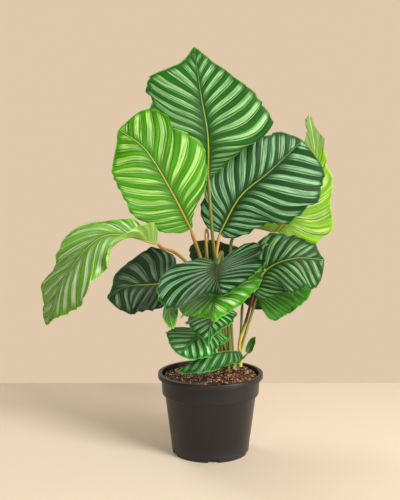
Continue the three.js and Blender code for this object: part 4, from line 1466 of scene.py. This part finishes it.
@dataclass
class Blade:
    """A leaf blade: a fine closed shell, pleated along the side veins and scalloped at the margin (mm).

    grain is how many rows each pleat has, and columns where the rows are cut, from the midrib to the margin.
    """

    leaf: Leaf
    grain: int = 10
    columns: tuple[float, ...] = (0, 0.008, 0.018, 0.034, 0.06, 0.1, 0.155, 0.22, 0.3, 0.38, 0.46, 0.54, 0.62,
                                  0.7, 0.77, 0.83, 0.885, 0.93, 0.965, 0.988, 1.0)
    thickness: float = 0.8
    edge_thickness: float = 0.45
    edge_from: float = 0.93
    keel: float = 1.5
    keel_tip: float = 0.2
    keel_width: float = 1.7
    rib_rise: float = 0.35
    rib_width: float = 0.8
    rib_tip_share: float = 0.45
    rib_reach: float = 0.06
    vein_start: float = 0.78
    vein_bow: float = 0.8
    roundness: float = 0.8
    lobe_span: float = 0.34
    drip_from: float = 0.8
    wave_rise: float = 2.5
    pleat_height: float = 2.5
    quilt_height: float = 0.05
    pleats_from: float = 1.0
    pleats_full: float = 9.0
    full_pleat_width: float = 80.0
    scallop: float = 2.8
    tear: float = 6.4
    tear_spacing: float = 2.6
    hook_fall: float = 0.76
    hook_top: float = 0.4
    uneven: float = 2.2
    full_tear_width: float = 75.0
    whole_near_rib: float = 26.0
    other_half: float = 0.4
    path: Path = field(init=False)
    rows: int = field(init=False)

    def __post_init__(self) -> None:
        """Lays the midrib's curve and counts the rows."""
        self.path = Path([Vector(point) for point in self.leaf.rib])
        self.rows = self.leaf.pleats * self.grain

    def axes(self, share: float) -> tuple[Vector, Vector, Vector]:
        """The midrib's point and the blade's own up and right.

        Args:
            share: The share of the midrib's length.

        Returns:
            The point, up and right.
        """
        point, along = self.path.read(share)
        facing = Vector([between([way[axis] for way in self.leaf.facing], clamp(share)) for axis in range(3)])
        up = (facing - along * facing.dot(along)).normalized()
        return point, up, along.cross(up)

    def margin(self, half: Half, q: float) -> tuple[float, float]:
        """A half's flat outline at a station.

        Args:
            half: The half.
            q: The station, from 0 at the stalk to 1 at the tip.

        Returns:
            The share of the length, and the distance out.
        """
        leaf, angle = self.leaf, math.pi * q
        lobe = half.lobe * math.sin(math.pi * min(1.0, q / self.lobe_span))
        drip = leaf.drip * max(0.0, (q - self.drip_from) / (1 - self.drip_from)) ** 2
        share = (1 - leaf.drip) * ((1 - math.cos(angle)) / 2) ** half.belly - lobe + drip
        scale = between([half.shape[0], *half.shape, half.shape[-1]], q)
        return share, half.width * math.sin(angle) ** self.roundness * scale

    def phase(self, q: float, hand: int) -> float:
        """The place among the pleats at a station: a whole number in each crease.

        Args:
            q: The station.
            hand: −1 on the left half, 1 on the right one.

        Returns:
            The phase.
        """
        return self.leaf.pleats * q + (self.other_half if hand > 0 else 0.0)

    def _hooks(self, turns: float, seed: float) -> float:
        """Hooked steps along a margin: each one falls away slowly, then rises sharply towards the tip.

        Args:
            turns: The place, with one step to each whole number.
            seed: A number that sets this margin's uneven sizes apart.

        Returns:
            The step's height, about −0.6 to 0.4 times its uneven size.
        """
        step = math.floor(turns)
        turn, fall = turns - step, self.hook_fall
        near, far = (max(0.1, 0.9 + self.uneven * noise.noise(Vector((k * 1.7, seed, 3.3))))
                     for k in (step, step + 1))
        top = self.hook_top
        rise = top - turn / fall if turn < fall else top - 1 + (turn - fall) / (1 - fall)
        return rise * lerp(near, far, turn)

    def _scalloped(self, half: Half, q: float, hand: int) -> tuple[float, float]:
        """The outline with small hooked steps at the creases, and larger ones further apart.

        Args:
            half: The half.
            q: The station.
            hand: −1 on the left half, 1 on the right one.

        Returns:
            The share of the length, and the distance out.
        """
        share, out = self.margin(half, q)
        phase, seed = self.phase(q, hand), hand * 5.0 + half.width
        step = self.scallop * self._hooks(phase, seed)
        step += self.tear * self._hooks(phase / self.tear_spacing, seed + 7)
        fade = min(1.0, half.width / self.full_tear_width) ** 1.4 * math.sin(math.pi * q) ** 0.8
        return share, max(out + step * (fade * smooth(out, 0.0, self.whole_near_rib)), 0.0)

    def _folded(self, half: Half, q: float, across: float, out: float) -> tuple[float, float, float]:
        """A half's section: it leaves the midrib at the fold and bends on evenly.

        Args:
            half: The half.
            q: The station.
            across: The share of the way from the midrib to the margin.
            out: The half's width at the station.

        Returns:
            The distance outward, the height over the midrib, and the slope in radians.
        """
        fold = math.radians(between(half.fold, q))
        curl = math.radians(half.curl)
        lean = fold + curl * across
        outward = (math.sin(lean) - math.sin(fold)) / curl * out
        lift = (math.cos(fold) - math.cos(lean)) / curl * out
        return outward, lift, lean

    def _surface(self, q: float, u: float) -> dict:
        """One place of the blade, before the pleats.

        Args:
            q: The station.
            u: −1 at the left margin, 0 at the midrib, 1 at the right margin.

        Returns:
            The upper and the lower point in metres, and the values that the finish and the pleats read.
        """
        leaf, hand, across, bulge = self.leaf, (-1 if u < 0 else 1), abs(u), math.sin(math.pi * q)
        half = leaf.left if u < 0 else leaf.right
        share_out, out = self._scalloped(half, q, hand)
        bow = self.vein_bow * bulge ** 2 * (out / self.path.length) * across ** 2 * (1 - across)
        share = lerp(q ** leaf.sweep, share_out, across ** self.vein_start) - bow
        if q in (0.0, 1.0):
            share = share_out
        centre, up, right = self.axes(share)
        outward, lift, lean = self._folded(half, q, across, out)
        swing = math.sin(2 * math.pi * leaf.wave.count * q + leaf.wave.phase + hand)
        wave = leaf.wave.height * across ** self.wave_rise * swing * bulge
        point = centre + right * (hand * outward) + up * (lift + wave)

        # The faces' directions turn evenly from one half to the other over the midrib.
        ridge_lean = math.radians(between(leaf.right.fold, q) - between(leaf.left.fold, q)) / 2
        tilt = lerp(hand * ridge_lean, lean, smooth(across, 0.0, self.rib_reach))
        normal = up * math.cos(tilt) - right * (hand * math.sin(tilt))

        along, distance = clamp(share), across * out
        narrow = lerp(1.0, self.rib_tip_share, along)
        rib = self.rib_rise * math.exp(-(distance / (self.rib_width * narrow)) ** 2) * narrow
        keel = lerp(self.keel, self.keel_tip, along)
        keel *= math.exp(-(distance / (self.keel_width * narrow)) ** 2)
        body = lerp(self.thickness, self.edge_thickness, smooth(across, self.edge_from, 1.0)) / 2
        return {
            "top": (point + normal * (body + rib)) * MM,
            "bottom": (point - normal * (body + keel)) * MM,
            "lift": normal * (smooth(distance, self.pleats_from, self.pleats_full) * bulge ** 0.5),
            "phase": self.phase(q, hand) if u else self.phase(q, 0) + self.other_half / 2,
            "across": across, "out": distance, "inset": (1 - across) * out, "along": along,
        }

    def _shell(self) -> bpy.types.Object:
        """Makes the closed shell.

        Returns:
            The shell: the same grid of points above and below, joined round the margin. It carries what the
            finish and the pleats read.
        """
        us = [-u for u in reversed(self.columns[1:])] + list(self.columns)
        cells: list[dict] = []
        grid: list[list[int]] = []
        for row in range(self.rows + 1):
            q = row / self.rows
            if row in (0, self.rows):
                grid.append([len(cells)] * len(us))
                cells.append(self._surface(q, 0.0))
            else:
                grid.append(list(range(len(cells), len(cells) + len(us))))
                cells += [self._surface(q, u) for u in us]
        low = len(cells)
        faces: list[tuple[int, ...]] = []

        def add(*corners: int) -> None:
            """Keeps a face, without doubled corners.

            Args:
                *corners: The places of its points.
            """
            kept = tuple(dict.fromkeys(corners))
            if len(kept) > 2:
                faces.append(kept)

        last = len(us) - 1
        for near, far in zip(grid, grid[1:]):
            for i in range(last):
                add(near[i], near[i + 1], far[i + 1], far[i])
                add(low + near[i], low + far[i], low + far[i + 1], low + near[i + 1])
            add(near[0], far[0], low + far[0], low + near[0])
            add(low + near[last], low + far[last], far[last], near[last])
        points = [cell["top"] for cell in cells] + [cell["bottom"] for cell in cells]
        shell = make_piece(self.leaf.name + "_blade_fine", points, faces)
        for key in ("lift", "phase", "across", "out", "inset", "along"):
            carry(shell, key, [cell[key] for cell in cells] * 2)
        carry(shell, "upper", [1.0] * low + [0.0] * low)
        return shell

    @staticmethod
    def pleat_tree() -> Shaper:
        """Makes the tree that presses the pleats into a blade.

        Returns:
            The tree. Each pleat is a sharp crease and a round ridge, with Height from the one to the other in
            metres, and Quilt is the height of the fine ripples between two creases.
        """
        g = Shaper("pleats", {"Height": 0.0015, "Quilt": 0.0004})
        phase, across = g.named("phase"), g.named("across")
        lift = g.named("lift", "FLOAT_VECTOR")
        ridge = abs(g.sine(phase * math.pi)) - 0.6
        fine = g.sine(phase * (10 * math.pi)) * g.size("Quilt")
        rise = g.step(across, 0.02, 0.5) * 0.75 + 0.25 * g.step(across, 0.5, 1.0)
        push = (ridge * g.size("Height") + fine) * rise
        g.close(g.node("GeometryNodeSetPosition", None,
                       {"Geometry": g.given, "Offset": g.vector("SCALE", lift, push)}))
        return g

    def build(self, tree: Shaper, seed: int) -> None:
        """Builds the blade and hands it over in place of the CAD blade.

        Args:
            tree: The pleat tree.
            seed: A number that sets this blade's fine lines apart from the others'.
        """
        shell = self._shell()
        finish = BladeFinish(self.leaf.look, seed * 3.7)
        scale = min(1.0, max(self.leaf.left.width, self.leaf.right.width) / self.full_pleat_width)
        tree.apply(shell, {"Height": self.pleat_height * scale * MM,
                           "Quilt": self.quilt_height * scale * MM,
                           "Material": finish.material(self.leaf.name + "_green")})
        soften(shell, 60.0)
        settle(shell, self.leaf.tone.value, self.leaf.name + "_blade")


@dataclass
class Stalk:
    """A leaf stalk: a round sweep with a sheath at the soil and a knee under the blade (mm).

    It runs on under the midrib, where run_on holds shares of the midrib's length.
    """

    leaf: Leaf
    crown: Crown
    blade: Blade
    sheath: float = 0.34
    sheath_from: float = 22.0
    sheath_length: float = 60.0
    knee: float = 0.10
    knee_before: float = 16.0
    knee_length: float = 12.0
    thin_share: float = 0.72
    thin_length: float = 14.0
    seat: float = 0.9
    gap: float = 0.25
    run_on: tuple[float, ...] = (0.03, 0.07, 0.12)
    end_radius: float = 0.7
    steps: int = 120

    def _way(self) -> tuple[list[Vector], list[float]]:
        """The stalk's course, from the soil to the end of its run under the midrib.

        Returns:
            Its points and its radius at each one, in metres.
        """
        radius = self.leaf.stalk.radius
        thin = radius * self.thin_share
        base, up, _ = self.blade.axes(0.0)
        points = [*self.crown.way(self.leaf), base - up * thin * self.seat]
        tail = []
        for share in self.run_on:
            centre, up, _ = self.blade.axes(share)
            size = lerp(thin, self.end_radius, share / self.run_on[-1])
            tail.append(centre - up * (size + self.gap))
        free, whole = Path(points), Path(points + tail)
        places, radii = [], []
        for i in range(self.steps + 1):
            share = i / self.steps
            distance = share * whole.length
            before = free.length - distance
            swell = 1 - smooth(distance - self.sheath_from, 0.0, self.sheath_length)
            bend = 1 - smooth(abs(before - self.knee_before), 0.0, self.knee_length)
            size = radius * (1 + self.sheath * swell) * (1 + self.knee * bend)
            size = lerp(size, thin, smooth(-before, -self.thin_length, 0.0))
            if before < 0:
                size = lerp(thin, self.end_radius, min(1.0, -before / (whole.length - free.length)))
            places.append(whole.read(share)[0] * MM)
            radii.append(size * MM)
        return places, radii

    @staticmethod
    def sweep_tree() -> Shaper:
        """Makes the tree that draws a round section along a line.

        Returns:
            The tree. It reads thick, the radius in metres, from the line, and Bulk scales it.
        """
        g = Shaper("stalk_sweep", {"Bulk": 1.0}, {"Sides": 16})
        curve = g.node("GeometryNodeMeshToCurve", None, {"Mesh": g.given})
        curve = g.store(curve, "along", g.node("GeometryNodeSplineParameter", None, None, "Factor"))
        section = g.node("GeometryNodeCurvePrimitiveCircle", {"mode": "RADIUS"},
                         {"Resolution": g.size("Sides"), "Radius": 1.0}, "Curve")
        section = g.store(section, "turn", g.node("GeometryNodeSplineParameter", None, None, "Factor"))
        g.close(g.node("GeometryNodeCurveToMesh", None,
                       {"Curve": curve, "Profile Curve": section, "Scale": g.named("thick") * g.size("Bulk"),
                        "Fill Caps": True}))
        return g

    def build(self, tree: Shaper) -> None:
        """Builds the stalk and hands it over in place of the CAD stalk.

        Args:
            tree: The sweep tree.
        """
        places, radii = self._way()
        edges = [(i, i + 1) for i in range(len(places) - 1)]
        line = make_piece(self.leaf.name + "_stalk_fine", places, [], edges)
        carry(line, "thick", radii)
        finish = STALK_FINISHES[self.leaf.stalk_tone]
        tree.apply(line, {"Material": finish.material(self.leaf.name + "_stalk_skin")})
        soften(line, 50.0)
        settle(line, self.leaf.stalk_tone.value, self.leaf.name + "_stalk")


# ---- Studio --------------------------------------------------------------------------------------


@dataclass(frozen=True)
class SoftLight:
    """One square soft light: its place, the point that it faces, its side (metres) and its power (watts)."""

    name: str
    place: Triple
    aim: Triple
    side: float
    power: float
    colour: Colour

    def build(self) -> None:
        """Sets up the light."""
        lamp = bpy.data.lights.new(self.name, "AREA")
        lamp.shape, lamp.size, lamp.energy, lamp.color = "SQUARE", self.side, self.power, self.colour
        holder = place_object(self.name, lamp)
        holder.location = self.place
        way = Vector(self.aim) - Vector(self.place)
        holder.rotation_euler = way.to_track_quat("-Z", "Y").to_euler()


@dataclass
class Studio:
    """The floor, the soft lights, the backdrop and the camera (metres and degrees).

    backdrop is the room's light behind the plant, front its light on the side that the plant faces, and lean
    how far the front reaches round towards -X. From one to the other, the light changes between the shares
    dim_to and full_from of the way.
    """

    floor_reach: float = 2.6
    floor_back: float = 0.464
    floor_finish: FloorFinish = FloorFinish()
    backdrop: Colour = srgb(224, 200, 172)
    front: Colour = srgb(102, 97, 91)
    lean: float = 0.42
    dim_to: float = 0.35
    full_from: float = 0.85
    lights: tuple[SoftLight, ...] = (
        SoftLight("key", (1.5, -1.7, 2.0), (0, 0, 0.4), 1.0, 85.0, (1.0, 0.97, 0.93)),
        SoftLight("side", (1.9, -1.3, 0.55), (0, 0, 0.15), 0.9, 32.0, (1.0, 0.98, 0.96)),
        SoftLight("fill", (-0.4, -2.9, 1.0), (0, 0, 0.4), 1.8, 22.0, (0.97, 0.99, 1.0)),
        SoftLight("back", (-1.4, 1.7, 2.3), (-0.2, 0.2, 0.2), 1.2, 34.0, (1.0, 0.98, 0.94)),
    )
    camera_place: Triple = (-0.019, -1.45, 0.515)
    camera_pitch: float = 5.8
    lens: float = 58.75
    film: float = 36.0

    def _floor(self) -> None:
        """A plain pale floor under the pot."""
        reach, back = self.floor_reach, self.floor_back
        corners = ((-reach, -reach), (reach, -reach), (reach, back), (-reach, back))
        floor = make_piece("floor", [Vector((x, y, 0)) for x, y in corners], [(0, 1, 2, 3)])
        floor.data.materials.append(self.floor_finish.material("pale_plaster"))

    def _world(self) -> None:
        """An even, pale light behind the plant, that grows dim towards its front and towards -X."""
        world = bpy.data.worlds.new("pale_room")
        world.use_nodes = True
        g = Graph(world.node_tree)
        way = g.node("ShaderNodeTexCoord", None, None, "Generated")
        split = g.node("ShaderNodeSeparateXYZ", None, {"Vector": way}, "Y")
        place = split * 0.5 + 0.5 + split.out("X") * self.lean
        stops = ((self.dim_to, self.front), (self.full_from, self.backdrop))
        ramp = g.node("ShaderNodeValToRGB", {"stops": stops}, {"Fac": place})
        ramp.socket.node.color_ramp.interpolation = "EASE"
        light = g.node("ShaderNodeBackground", None, {"Color": ramp})
        g.node("ShaderNodeOutputWorld", None, {"Surface": light})
        bpy.context.scene.world = world

    def _camera(self) -> None:
        """The camera at the photograph's viewing angle."""
        data = bpy.data.cameras.new("view")
        data.sensor_fit, data.sensor_height, data.lens = "VERTICAL", self.film, self.lens
        data.clip_start, data.clip_end = 0.05, 50.0
        camera = place_object("view", data)
        camera.location = self.camera_place
        camera.rotation_euler = (math.radians(90 - self.camera_pitch), 0, 0)
        bpy.context.scene.camera = camera

    def build(self) -> None:
        """Sets up the floor, the lights and the camera."""
        self._floor()
        self._world()
        for light in self.lights:
            light.build()
        self._camera()
        view = bpy.context.scene.view_settings
        view.view_transform, view.look, view.exposure, view.gamma = "Standard", "None", 0.0, 1.0


def main() -> None:
    """Builds the pot, the soil, the leaves and the studio."""
    logging.basicConfig(level=logging.INFO, format="%(message)s")
    pot = Pot()
    pot.build()
    SoilBed(pot).build()
    crown, sweep, pleats = Crown(), Stalk.sweep_tree(), Blade.pleat_tree()
    for number, leaf in enumerate(LEAVES, start=1):
        blade = Blade(leaf)
        Stalk(leaf, crown, blade).build(sweep)
        blade.build(pleats, number)
    Studio().build()


if __name__ == "__main__":
    main()
